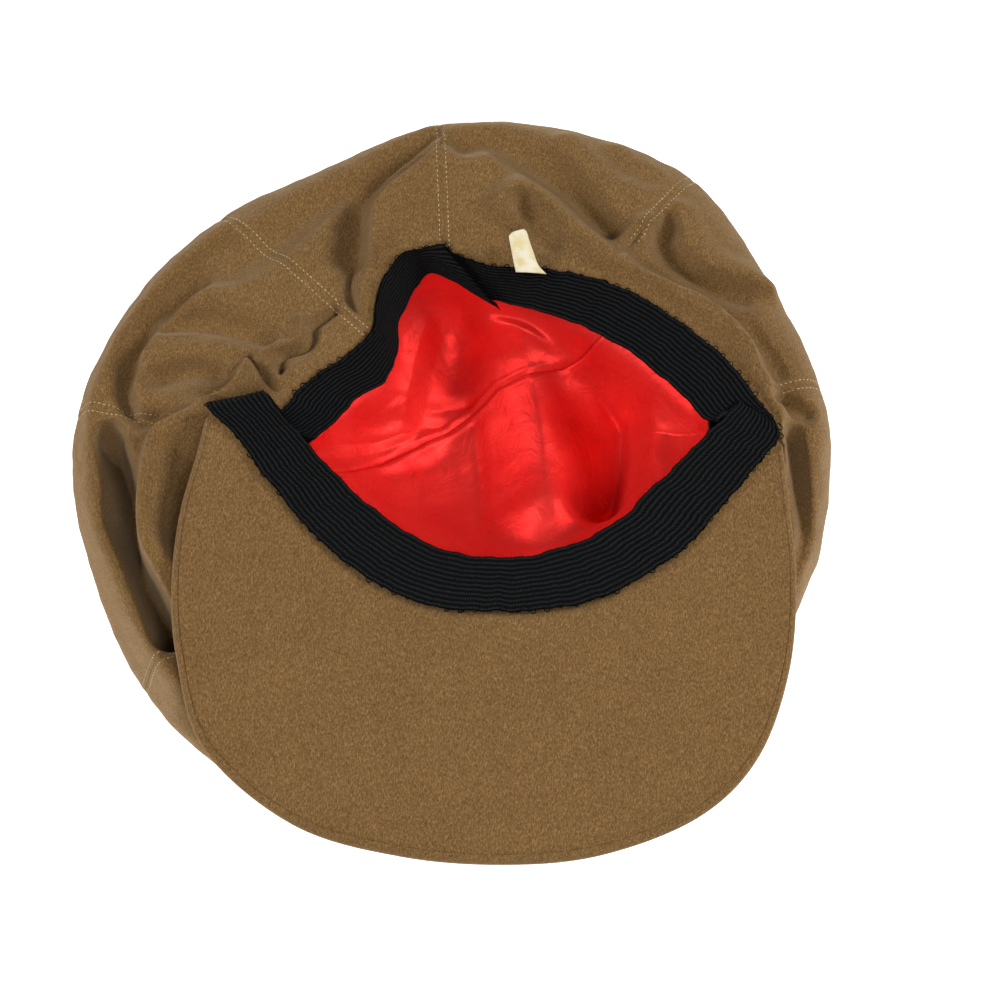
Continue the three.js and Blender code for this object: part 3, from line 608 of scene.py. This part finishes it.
# Size and depth of the cloth's waviness, which starts just past the rim. Where the panel turns
# under to the floor, the waviness and the pressed lines fade out.
CLOTH_WAVE = (9.0, 0.22)
WAVE_START = (0.0, 0.05)
RELIEF_FADE = (0.68, 0.78)


def pressed_line(line, distance):
    depth, width = line
    return depth * (1 - smooth_step(0, width, distance))


def cloth_ripple(points, size, depth):
    """A shallow, irregular waviness, as cloth that has been worn never lies quite smooth."""
    x, y, z = (points[..., k] / size for k in range(3))
    total = 0.0
    for strength, ax, ay, az, a_start, bx, by, bz, b_start in RIPPLES:
        first = np.sin(ax * x + ay * y + az * z + a_start)
        second = np.sin(bx * x + by * y + bz * z + b_start)
        total = total + strength * first * second
    return total * depth


wool = brushed_wool()


def panel_points(number):
    """One panel's outer face, from seam to seam, and the directions square to it."""
    even = np.linspace(0, 1, PANEL_COLUMNS[number])
    share = even - np.sin(2 * np.pi * even) / (2 * np.pi) * SEAM_CROWDING
    folded = np.linspace(0, FOLDED_STEP, FOLDED_ROWS, endpoint=False)
    turned = np.linspace(FOLDED_STEP, FLOOR_STEP, TURN_ROWS, endpoint=False)
    flat = np.linspace(FLOOR_STEP, 1, FLOOR_ROWS)
    step = np.concatenate([folded, turned, flat])[:, None]
    points = crown_point(number + share[None, :], step)
    normals = grid_normals(points)
    normals = normals * np.sign(normals[..., 2].mean())
    across_left = np.linalg.norm(points - points[:, :1], axis=-1)
    across_right = np.linalg.norm(points - points[:, -1:], axis=-1)
    across = np.minimum(across_left, across_right)
    pressed = pressed_line(SEAM_LINE, across) + pressed_line(STITCH_LINE, np.abs(across - STITCH_OFFSET))
    inwards = pressed + cloth_ripple(points, *CLOTH_WAVE) * smooth_step(*WAVE_START, step)
    fade = 1 - smooth_step(*RELIEF_FADE, step)
    return points - normals * (inwards * fade)[..., None], normals


crown_surfaces = []
for number in range(PANELS):
    surface, outward = panel_points(number)
    name, node = f"wool_panel_{number + 1}", f"crown_panel_{number + 1}"
    panel = grid_piece(name, turn_outwards(surface), wool, node)
    thicken(panel, WALL)
    crown_surfaces.append((surface, outward))

# The visor is two plies of the same wool. The outer ply wraps the edge as a narrow lip, and
# the ply on the underside, which faces up here, is seamed to it just inside the edge.
LIP = 2.5
TOP_WALL = 1.8
# Columns: seam number, outer edge x, y.
VISOR_ROWS = [
    (2.0, -77.5, 5.5),
    (2.25, -80.0, -6),
    (2.5, -84.5, -25),
    (2.75, -86.2, -47),
    (3.0, -84.0, -70),
    (3.25, -75.0, -97.5),
    (3.5, -47.7, -119.7),
    (3.75, -14.7, -128.8),
    (4.0, 18.3, -131.1),
    (4.25, 47, -128.2),
    (4.5, 75.9, -117.4),
    (4.75, 94, -100),
    (5.0, 104, -74),
    (5.25, 107, -46),
    (5.5, 105.6, -22),
    (5.75, 104.0, -3.5),
]
VISOR_STATIONS = 220
UNDER_ROWS = 80
UNDER_CROWDING = 0.6
TOP_ROWS = 20
# The visor's usual depth turns a share of the way out into a distance from its outer seam.
VISOR_DEPTH = 60.0
VISOR_SEAM_LINE = (0.22, 1.2)
# Height of the swell inside that seam, its distance from the seam and its spread.
SEAM_SWELL = (0.14, 3.0, 3.0)
VISOR_WAVE = (14.0, 0.16)
VISOR_WAVE_START = (0.0, 4.0)
# A small dent near the front edge: x, y, depth and spread.
VISOR_DENT = (12.5, -103.5, 0.25, 9.0)


def visor_frame():
    """For each station round the visor: its sewn edge, its outer edge and the lip's share."""
    seam = np.linspace(*VISOR_CORNERS, VISOR_STATIONS)
    rear = rim_point(seam)[:, :2]
    edge = read_table(VISOR_ROWS, seam)
    width = np.linalg.norm(edge - rear, axis=1)
    lip = np.minimum(LIP, width / 3) / width
    return rear, edge, lip


def visor_face(shares, below):
    """Points over the visor: a column for each station, a row for each share of the way out."""
    rear, edge, _ = visor_frame()
    plan = mix(rear[None], edge[None], shares[..., None])
    height = visor_height(plan[..., 0], plan[..., 1]) - below
    return np.concatenate([plan, height[..., None]], axis=-1)


def make_under_cloth():
    _, _, lip = visor_frame()
    rows = np.linspace(0, 1, UNDER_ROWS)[:, None] ** UNDER_CROWDING
    from_seam = (1 - rows) * VISOR_DEPTH
    swell, middle, spread = SEAM_SWELL
    swelling = swell * np.exp(-((from_seam - middle) ** 2) / spread)
    points = visor_face(rows * (1 - lip), pressed_line(VISOR_SEAM_LINE, from_seam) - swelling)
    dent_x, dent_y, depth, spread = VISOR_DENT
    dent = depth * np.exp(-((points[..., 0] - dent_x) ** 2 + (points[..., 1] - dent_y) ** 2) / spread)
    wave = cloth_ripple(points, *VISOR_WAVE) * smooth_step(*VISOR_WAVE_START, from_seam)
    points[..., 2] += wave - dent
    piece = grid_piece("visor_under_wool", turn_outwards(points), wool, "visor_under_cloth")
    thicken(piece, VISOR_PLY)


def make_top_cloth():
    _, _, lip = visor_frame()
    inside = 1 - lip
    flat = np.linspace(0, 1, TOP_ROWS)[:-1, None]
    turn = np.linspace(-np.pi / 2, np.pi / 2, TOP_ROWS)[:, None]
    shares = np.concatenate([flat * inside, inside + lip * np.cos(turn)])
    middle = VISOR_THICKNESS / 2
    below = np.concatenate([np.full(flat.shape, VISOR_THICKNESS), middle - middle * np.sin(turn)])
    points = turn_outwards(visor_face(shares, below), upward=False)
    piece = grid_piece("visor_top_wool", points, wool, "visor_top_cloth")
    thicken(piece, TOP_WALL)


make_under_cloth()
make_top_cloth()

# The sweatband is one strip of black ribbed elastic, sewn by its outer edge and lapped at
# the back, where its raw end frays. Its cords run along it with a fine thread across them.
ELASTIC_RIBS = 12
RIB_HEIGHT = 0.5
RIB_FULLNESS = 0.6
RIB_COLUMNS = 5
ELASTIC_STATIONS = 420
SPACING_SAMPLES = 4000
ELASTIC_LENGTH = 540.0
THREAD_PITCH = 0.9
# The scale at which a pattern of bands has one band in a unit.
WAVE_PERIOD = math.pi / 10
# Size and depth of the unevenness of the elastic's edges and face, and of its cords' spacing.
OUTER_EDGE_WAVE = (4.0, 0.3)
INNER_EDGE_WAVE = (6.0, 0.35)
FACE_WAVE = (6.0, 0.12)
CORD_WAVE = (4.5, 0.012)
# The cord colours are painted light: lighter on the cords' tops as a painted highlight, and near black in the
# gaps between them as painted shade.
# Columns: level of the pattern, colour.
CORD_PAINTED_LIGHT = [
    (0.1, (0.0004, 0.0005, 0.0005)),
    (0.6, (0.004, 0.0045, 0.005)),
    (0.95, (0.012, 0.0138, 0.015)),
]
THREAD_COLOURS = [(0.2, (0.45, 0.45, 0.45)), (0.85, (1.3, 1.32, 1.34))]
DUST_COLOURS = [(0.4, (0.65, 0.65, 0.65)), (0.75, (1.5, 1.5, 1.48))]


def woven_bands(tree, cloth, direction, count, **inputs):
    """So many even threads over the cloth's own map, side by side in one direction."""
    bands = {"wave_type": "BANDS", "bands_direction": direction}
    node = add_node(tree, "ShaderNodeTexWave", bands, Scale=WAVE_PERIOD * count, **inputs)
    tree.links.new(cloth, node.inputs["Vector"])
    return node.outputs["Fac"]


def black_elastic():
    """Its cords are painted lighter along their tops as a painted highlight, and the gaps between them are
    painted black as painted shade.
    """
    material, tree, shader = material_nodes("black_elastic")
    cloth = add_node(tree, "ShaderNodeUVMap", {"uv_map": "cloth"}).outputs["UV"]
    cords = woven_bands(tree, cloth, "X", ELASTIC_RIBS)
    thread_count = ELASTIC_LENGTH / THREAD_PITCH
    threads = woven_bands(tree, cloth, "Y", thread_count, Distortion=2.5, Detail_Scale=0.4)
    lint = noise(tree, object_place(tree), Scale=1400.0, Detail=3.0, Roughness=0.7)
    # Painted highlight on the cords' tops and painted shade in the gaps between them.
    woven = multiply_colours(
        tree, colour_ramp(tree, cords, CORD_PAINTED_LIGHT), colour_ramp(tree, threads, THREAD_COLOURS)
    )
    colour = multiply_colours(tree, woven, colour_ramp(tree, lint, DUST_COLOURS))
    tree.links.new(colour, shader.inputs["Base Color"])
    relief = bump(tree, threads, strength=0.5, distance=0.0003)
    tree.links.new(relief, shader.inputs["Normal"])
    set_inputs(shader, Roughness=0.7, Specular_IOR_Level=0.08)
    return material


def strip_edges(seam):
    return read_table(ELASTIC_ROWS, seam)


def elastic_surface(seam, across, lift):
    """Points over the elastic's upper face, lifted square to it. Its edges and face are uneven."""
    outer, inner, normal = elastic_frame(strip_edges, seam)
    inwards = unit(inner - outer)
    outer = outer + inwards * cloth_ripple(outer, *OUTER_EDGE_WAVE)[..., None]
    inner = inner + inwards * cloth_ripple(inner, *INNER_EDGE_WAVE)[..., None]
    spacing = cloth_ripple(mix(outer, inner, 0.5), *CORD_WAVE)
    across = across + spacing * np.sin(np.pi * across)
    points = mix(outer, inner, across[..., None])
    lift = lift + cloth_ripple(points, *FACE_WAVE)
    return points + normal * lift[..., None]


def run_along(line):
    """How far along a line each of its points is."""
    return np.concatenate([[0], np.cumsum(np.linalg.norm(np.diff(line, axis=0), axis=1))])


def elastic_seams(stations, skipped=0.0):
    """Seam numbers of stations spaced evenly along the strip, past what is skipped at its start."""
    dense = np.linspace(ELASTIC_ROWS[0][0] + skipped, ELASTIC_ROWS[-1][0], SPACING_SAMPLES)
    edges = strip_edges(dense)
    run = run_along((edges[:, :3] + edges[:, 3:]) / 2)
    return np.interp(np.linspace(0, run[-1], stations), run, dense)


def make_elastic():
    seams = elastic_seams(ELASTIC_STATIONS)[:, None]
    across = np.linspace(0, 1, RIB_COLUMNS * ELASTIC_RIBS + 1)[None, :]
    cord = np.abs(np.sin(np.pi * ELASTIC_RIBS * across)) ** RIB_FULLNESS
    seams, across, cord = np.broadcast_arrays(seams, across, cord)
    points = turn_outwards(elastic_surface(seams, across, RIB_HEIGHT * cord))
    piece = grid_piece("elastic_sweatband", points, elastic, "elastic_band")
    thicken(piece, ELASTIC_THICKNESS)


# The overlock thread's loops stand out past the sewn edge, and short fibres stick out of the
# raw end at the lap and along the edges.
LOOP_PITCH = 4.4
LOOP_REACH = 1.9
LOOP_WIDTH = 2.2
# The least and the most of that reach and that width, because no two loops are alike.
REACH_SPREAD = (0.5, 1.2)
WIDTH_SPREAD = (0.7, 1.1)
LOOP_SIDES = 4
LOOP_STEPS = 6
LOOP_THREAD = 0.19
# The loops start this many seams after the raw end, this far across the elastic and above it.
LOOP_SKIPPED = 0.1
LOOP_ACROSS = 0.03
LOOP_LIFT = 0.35
LOOP_ROOT = 0.5
END_FIBRES = 420
END_SPREAD = (0.02, 0.98)
END_THREAD = 0.12
END_LENGTHS = (0.8, 3.2)
EDGE_FIBRES = 700
# Two fibres in three are at the outer edge.
EDGE_PLACES = (0.01, 0.01, 0.99)
EDGE_THREAD = 0.07
EDGE_LENGTHS = (0.4, 1.0)
FIBRE_SIDES = 3
FIBRE_TIP = 0.4
FIBRE_LIFT = 0.1
FIBRE_ROOT = 0.3
# How much a fibre leans, as a share of its way out, and how far it curls, sideways and upwards.
LEAN_SIDEWAYS = 0.9
LEAN_UP = 0.5
CURL_SIDEWAYS = 0.3
CURL_UP = 0.18
CURL_HALFWAY = 0.3
FIBRE_BEHIND = 0.02


def add_tube(shape, line, radius, sides, tip=1.0):
    """A thin thread through a line of points, its radius falling to the share tip at its end."""
    line = [Vector(point) for point in line]
    rings = []
    for k, point in enumerate(line):
        ahead = line[min(k + 1, len(line) - 1)] - line[max(k - 1, 0)]
        across = ahead.orthogonal().normalized()
        up = ahead.cross(across).normalized()
        size = radius * mix(1.0, tip, k / (len(line) - 1))
        ring = []
        for side in range(sides):
            turn = 2 * math.pi * side / sides
            out = across * math.cos(turn) + up * math.sin(turn)
            ring.append(shape.verts.new(point + size * out))
        rings.append(ring)
    for before, after in zip(rings[:-1], rings[1:]):
        for side in range(sides):
            other = (side + 1) % sides
            shape.faces.new((before[side], before[other], after[other], after[side]))
    shape.faces.new(rings[0][::-1])
    shape.faces.new(rings[-1])


def thread_piece(name, shape, material):
    """Finishes a mesh of threads that was made in millimetres."""
    bmesh.ops.translate(shape, verts=shape.verts, vec=Vector(ORIGIN_SHIFT))
    bmesh.ops.scale(shape, verts=shape.verts, vec=(MM, MM, MM))
    bmesh.ops.recalc_face_normals(shape, faces=shape.faces)
    for face in shape.faces:
        face.smooth = True
    finish_piece(name, shape, material)


def edge_place(seam, across, lift):
    """A place on the elastic, and the directions inwards across it and square to it."""
    seam, across = np.array([[seam]]), np.array([[across]])
    outer, inner, normal = elastic_frame(strip_edges, seam)
    point = elastic_surface(seam, across, np.full((1, 1), lift))
    return Vector(point[0, 0]), Vector(unit(inner - outer)[0, 0]), Vector(normal[0, 0])


def make_loops():
    chance = random.Random(5)
    shape = bmesh.new()
    for seam in elastic_seams(int(ELASTIC_LENGTH / LOOP_PITCH), LOOP_SKIPPED):
        point, inwards, normal = edge_place(seam, LOOP_ACROSS, LOOP_LIFT)
        along = inwards.cross(normal)
        reach = LOOP_REACH * chance.uniform(*REACH_SPREAD)
        width = LOOP_WIDTH * chance.uniform(*WIDTH_SPREAD)
        line = []
        for turn in np.linspace(0, math.pi, LOOP_STEPS):
            out = reach * math.sin(turn) - LOOP_ROOT
            line.append(point - inwards * out + along * (width / 2 * math.cos(turn)))
        add_tube(shape, line, LOOP_THREAD, LOOP_SIDES)
    thread_piece("elastic_loops", shape, elastic)


def add_fibre(shape, chance, seam, across, at_end):
    """One fibre: at the raw end it runs on along the strip, and elsewhere out past the edge."""
    point, inwards, normal = edge_place(seam, across, FIBRE_LIFT)
    if at_end:
        behind, _, _ = edge_place(seam + FIBRE_BEHIND, across, FIBRE_LIFT)
        away, sideways = (point - behind).normalized(), inwards
        lengths, thread = END_LENGTHS, END_THREAD
    else:
        away = inwards if across > 0.5 else -inwards
        sideways = inwards.cross(normal).normalized()
        lengths, thread = EDGE_LENGTHS, EDGE_THREAD
    lean = sideways * chance.uniform(-LEAN_SIDEWAYS, LEAN_SIDEWAYS) + normal * chance.uniform(0.0, LEAN_UP)
    away = (away + lean).normalized()
    curl = sideways * chance.uniform(-CURL_SIDEWAYS, CURL_SIDEWAYS)
    curl += normal * chance.uniform(-CURL_UP, CURL_UP)
    length = chance.uniform(*lengths)
    halfway = point + away * length / 2 + curl * CURL_HALFWAY
    line = [point - away * FIBRE_ROOT, halfway, point + away * length + curl]
    add_tube(shape, line, thread, FIBRE_SIDES, FIBRE_TIP)


def make_fibres():
    chance = random.Random(11)
    shape = bmesh.new()
    for _ in range(END_FIBRES):
        add_fibre(shape, chance, ELASTIC_ROWS[0][0], chance.uniform(*END_SPREAD), True)
    for seam in elastic_seams(EDGE_FIBRES):
        add_fibre(shape, chance, seam, chance.choice(EDGE_PLACES), False)
    thread_piece("elastic_fibres", shape, elastic)


elastic = black_elastic()
make_elastic()
make_loops()
make_fibres()

# The lining is two pieces of red satin, seamed across the hollow. It hangs from under the
# elastic and has sunk into folds on the bottom of the crown.
LINING_WALL = 0.8
LINING_FLOOR = 11.0
LINING_MIDDLE = np.array([14.0, 35.0])
LINING_SEAMS = (-1.24, 2.52)
LINING_CORNERS = ((1.6, 2.4), (5.62, 5.98))
CORNER_EASE = 0.3
CORNER_SHARE = 0.93
LINING_DEPTH = 2.1
LINING_MARGIN = 0.4
LINING_COLUMNS = 170
LINING_LINES = 160
SEAM_LINE_SKIP = 10
LINING_WAVE = (11.0, 0.3)
# The folds grow in between these two shares of the drop.
LINING_FOLDS_GROW = (0.2, 0.7)
# The seam's crease has a depth and a width, and the ridge beside it a height, place and width.
SEAM_CREASE = (0.3, 0.6)
SEAM_RIDGE = (0.45, 1.8, 1.0)
# Columns: level of the noise, colour.
SATIN_COLOURS = [(0.3, (0.78, 0.024, 0.021)), (0.7, (0.89, 0.042, 0.035))]
SATIN_GRAIN = [(0.3, (0.86, 0.8, 0.8)), (0.7, (1.0, 1.0, 1.0))]
# Columns: share across the elastic, share of the way in to the middle, share of the drop.
LINING_ROWS = [
    (0.3, 0.0, 0.0),
    (0.33, 0.0, 0.06),
    (0.5, 0.0, 0.11),
    (0.75, 0.0, 0.15),
    (0.96, 0.0, 0.2),
    (1.0, 0.06, 0.33),
    (1.0, 0.16, 0.54),
    (1.0, 0.3, 0.77),
    (1.0, 0.5, 0.94),
    (1.0, 0.75, 1.0),
    (1.0, 1.0, 1.0),
]
# Columns: rise, width to the left of the path, width to its right, crispness, path.
LINING_FOLDS = {
    "middle ridge": (15, 20, 26, 0.2, [(22, 50), (26, 34), (29, 14), (30, -8)]),
    "right fold": (6, 16, 6, 0.4, [(70, 44), (68, 33), (66, 20), (65, 8), (67, -4)]),
    "left fold": (4.5, 6, 16, 0.4, [(-10, 54), (-13, 43), (-15, 31), (-17, 22)]),
    "left crease": (-1.4, 4, 5, 0.6, [(-44, 20), (-30, 18), (-17, 22), (-4, 25)]),
    "seam crease": (-1.1, 5, 5, 0.6, [(-28, 29), (-10, 30), (4, 32)]),
    "front crease": (-0.9, 5, 5, 0.3, [(7, 24), (8, 13), (9, -1), (9, -16)]),
    "back hollow": (-2, 13, 17, 0, [(24, 52), (35, 56), (46, 54)]),
    "left swell": (3, 12, 12, 0, [(-40, 8), (-22, 14), (-12, 20)]),
}
# The deep pocket that lies in shade: level of its bottom, then as for the folds.
POCKET = (5.5, 9, 18, 0.4, [(59, 43), (57, 34), (55.5, 22), (54.5, 8), (52, -7)])


def red_satin():
    """Slippery red satin: its colour deepens where it turns away from the light."""
    material, tree, shader = material_nodes("red_satin")
    place = object_place(tree)
    shade = noise(tree, place, Scale=60.0, Detail=3.0)
    weave = noise(tree, place, Scale=2600.0, Detail=2.0)
    crease = noise(tree, place, Scale=120.0, Detail=5.0, Roughness=0.6, Distortion=0.8)
    colour = multiply_colours(
        tree, colour_ramp(tree, shade, SATIN_COLOURS), colour_ramp(tree, weave, SATIN_GRAIN)
    )
    tree.links.new(colour, shader.inputs["Base Color"])
    fine = bump(tree, weave, strength=0.2, distance=0.0001)
    crinkles = bump(tree, crease, strength=0.6, distance=0.001, beneath=fine)
    tree.links.new(crinkles, shader.inputs["Normal"])
    set_inputs(shader, Metallic=0.55, Roughness=0.5, Specular_IOR_Level=0.12)
    return material


def lining_rim(seam, share):
    """A place under the elastic, a share of the way across it."""
    outer, inner, _ = elastic_frame(sewn_edge, seam)
    width = np.linalg.norm(inner - outer, axis=-1)
    return under_elastic(seam, share * width + LINING_MARGIN + lap_reach(seam), LINING_DEPTH)


def lining_edge(seam, share):
    """A line under the elastic. Each folded corner is spanned in one sweep."""
    seam = seam % PANELS
    near_corner = np.zeros(seam.shape)
    for start, end in LINING_CORNERS:
        rise = smooth_step(start - CORNER_EASE, start, seam)
        near_corner = np.maximum(near_corner, rise * (1 - smooth_step(end, end + CORNER_EASE, seam)))
    corner_share = mix(CORNER_SHARE, 1.0, share)
    points = lining_rim(seam, mix(share, corner_share, near_corner))
    for start, end in LINING_CORNERS:
        from_place, to_place = lining_rim(np.array([start, end]), corner_share)
        across = np.clip((seam - start) / (end - start), 0, 1)[:, None]
        inside = (seam > start) & (seam < end)
        points = np.where(inside[:, None], mix(from_place, to_place, across), points)
    return points


def seam_relief(across):
    """The lining's seam: a fine crease with a soft ridge of turned-in cloth on each side."""
    depth, crease_width = SEAM_CREASE
    height, place, ridge_width = SEAM_RIDGE
    crease = depth * np.exp(-((across / crease_width) ** 2))
    return height * np.exp(-(((across - place) / ridge_width) ** 2)) - crease


def make_lining_half(name, node, start, end):
    seam = np.linspace(start, end, LINING_COLUMNS)
    lines = []
    for share, inward, drop in LINING_ROWS:
        edge = lining_edge(seam, share)
        plan = mix(edge[:, :2], LINING_MIDDLE, inward)
        height = mix(edge[:, 2:], LINING_FLOOR, drop)
        lines.append([*np.concatenate([plan, height], axis=1).ravel(), drop])
    read = smooth_curve(lines, LINING_LINES)
    points = read[:, :-1].reshape(LINING_LINES, LINING_COLUMNS, 3)
    mask = smooth_step(*LINING_FOLDS_GROW, read[:, -1:])
    x, y = points[..., 0], points[..., 1]
    lift = sum(fold[0] * fold_strength(fold, x, y) for fold in LINING_FOLDS.values())
    seam_line = np.concatenate([points[::SEAM_LINE_SKIP, 0, :2], points[::-SEAM_LINE_SKIP, -1, :2]])
    across, _ = path_distance(seam_line, x, y)
    points[..., 2] += (lift + cloth_ripple(points, *LINING_WAVE) + seam_relief(across)) * mask
    points[..., 2] = mix(points[..., 2], POCKET[0], fold_strength(POCKET, x, y) * mask)
    points[-1] = points[-1].mean(axis=0)
    thicken(grid_piece(name, turn_outwards(points), satin, node), LINING_WALL)


satin = red_satin()
make_lining_half("satin_lining_back", "lining_back", *LINING_SEAMS)
make_lining_half("satin_lining_front", "lining_front", LINING_SEAMS[1], LINING_SEAMS[0] + PANELS)

# A blank size tag of cream ribbon is caught in the elastic's seam at the back. It lies back on
# the wool, and its free end is rounded at one corner.
# Columns: left x, y, z, right x, y, z.
TAG_ROWS = [
    (20.4, 60.3, 54.9, 30.2, 59.4, 55.6),
    (19.9, 62.4, 55.8, 27.7, 62.3, 56.1),
    (19.2, 65.6, 57.1, 26.2, 66.0, 57.5),
    (18.5, 69.3, 58.2, 24.7, 70.2, 58.6),
    (18.2, 71.4, 58.7, 24.0, 72.6, 59.1),
    (19.2, 72.7, 58.9, 23.1, 73.7, 59.3),
]
TAG_LINES = 40
TAG_COLUMNS = 20
TAG_BULGE = 0.3
TAG_WALL = 0.8
RIBBON_COLOURS = [(0.36, (0.62, 0.50, 0.22)), (0.58, (0.70, 0.64, 0.49))]


def cream_ribbon():
    """Cream ribbon with a plain weave, yellowed in patches."""
    material, tree, shader = material_nodes("cream_ribbon")
    place = object_place(tree)
    stain = noise(tree, place, Scale=260.0, Detail=3.0)
    weave = noise(tree, place, Scale=1500.0, Detail=3.0)
    tree.links.new(colour_ramp(tree, stain, RIBBON_COLOURS), shader.inputs["Base Color"])
    relief = bump(tree, weave, strength=0.5, distance=0.0004)
    tree.links.new(relief, shader.inputs["Normal"])
    set_inputs(shader, Roughness=0.5)
    return material


def make_tag():
    lines = smooth_curve(TAG_ROWS, TAG_LINES)
    across = np.linspace(0, 1, TAG_COLUMNS)[None, :, None]
    points = mix(lines[:, None, :3], lines[:, None, 3:], across)
    points[..., 2] += TAG_BULGE * np.sin(np.pi * across[..., 0])
    thicken(grid_piece("ribbon_tag", turn_outwards(points), ribbon, "size_tag"), TAG_WALL)


ribbon = cream_ribbon()
make_tag()

# Every crown seam is topstitched on both sides with a pale thread, whose stitches sink into
# the nap and show as short dashes.
STITCH_PITCH = 1.65
STITCH_LENGTH = 1.05
# How far out along each seam the stitches come into sight from under the elastic or a fold.
STITCH_STARTS = (2, 2, 26, 2, 2, 2, 20, 26)
STITCH_END = 1.0
# A stitch points to the place this far ahead, stands proud by this share of its thread, and sinks.
STITCH_AHEAD = 0.6
THREAD_PROUD = 0.6
STITCH_SINK = (-0.02, 0.2)
STITCH_COLUMNS = 16
THREAD_RADIUS = 0.16
SEAM_THREAD_COLOURS = [(0.35, (0.42, 0.30, 0.13)), (0.65, (0.66, 0.54, 0.30))]


def pale_thread():
    """Pale cotton thread, soiled here and there."""
    material, tree, shader = material_nodes("pale_thread")
    wear = noise(tree, object_place(tree), Scale=500.0, Detail=2.0)
    tree.links.new(colour_ramp(tree, wear, SEAM_THREAD_COLOURS), shader.inputs["Base Color"])
    set_inputs(shader, Roughness=0.6)
    return material


def add_stitch(shape, place, along, normal, sink):
    across = along.cross(normal).normalized()
    turn = Matrix((along, across, normal)).transposed().to_4x4()
    stretch = Matrix.Diagonal((STITCH_LENGTH / 2, THREAD_RADIUS, THREAD_RADIUS, 1.0))
    centre = Matrix.Translation(place + normal * (THREAD_RADIUS * THREAD_PROUD - sink))
    bmesh.ops.create_icosphere(shape, subdivisions=1, radius=1.0, matrix=centre @ turn @ stretch)


def make_stitches(number, panel_before, panel_after):
    """Two rows for one seam, one on each panel beside it."""
    chance = random.Random(number)
    shape = bmesh.new()
    for panel, side in ((panel_after, slice(None)), (panel_before, slice(None, None, -1))):
        surface, outward = (grid[:-FLOOR_ROWS, side][:, :STITCH_COLUMNS] for grid in panel)
        reach = np.maximum.accumulate(np.linalg.norm(surface - surface[:, :1], axis=-1), axis=1)
        column = np.array([np.interp(STITCH_OFFSET, row, np.arange(STITCH_COLUMNS)) for row in reach])
        low = column.astype(int).clip(0, STITCH_COLUMNS - 2)
        rows = np.arange(len(surface))
        line = mix(surface[rows, low], surface[rows, low + 1], (column - low)[:, None])
        normals = outward[rows, low]
        run = run_along(line)
        for distance in np.arange(STITCH_STARTS[number], run[-1] - STITCH_END, STITCH_PITCH):
            place, ahead, normal = (
                Vector([np.interp(at, run, values[:, k]) for k in range(3)])
                for at, values in ((distance, line), (distance + STITCH_AHEAD, line), (distance, normals))
            )
            sink = chance.uniform(*STITCH_SINK)
            add_stitch(shape, place, (ahead - place).normalized(), normal.normalized(), sink)
    thread_piece(f"stitches_{number + 1}", shape, thread)


thread = pale_thread()
for number in range(PANELS):
    make_stitches(number, crown_surfaces[number - 1], crown_surfaces[number])
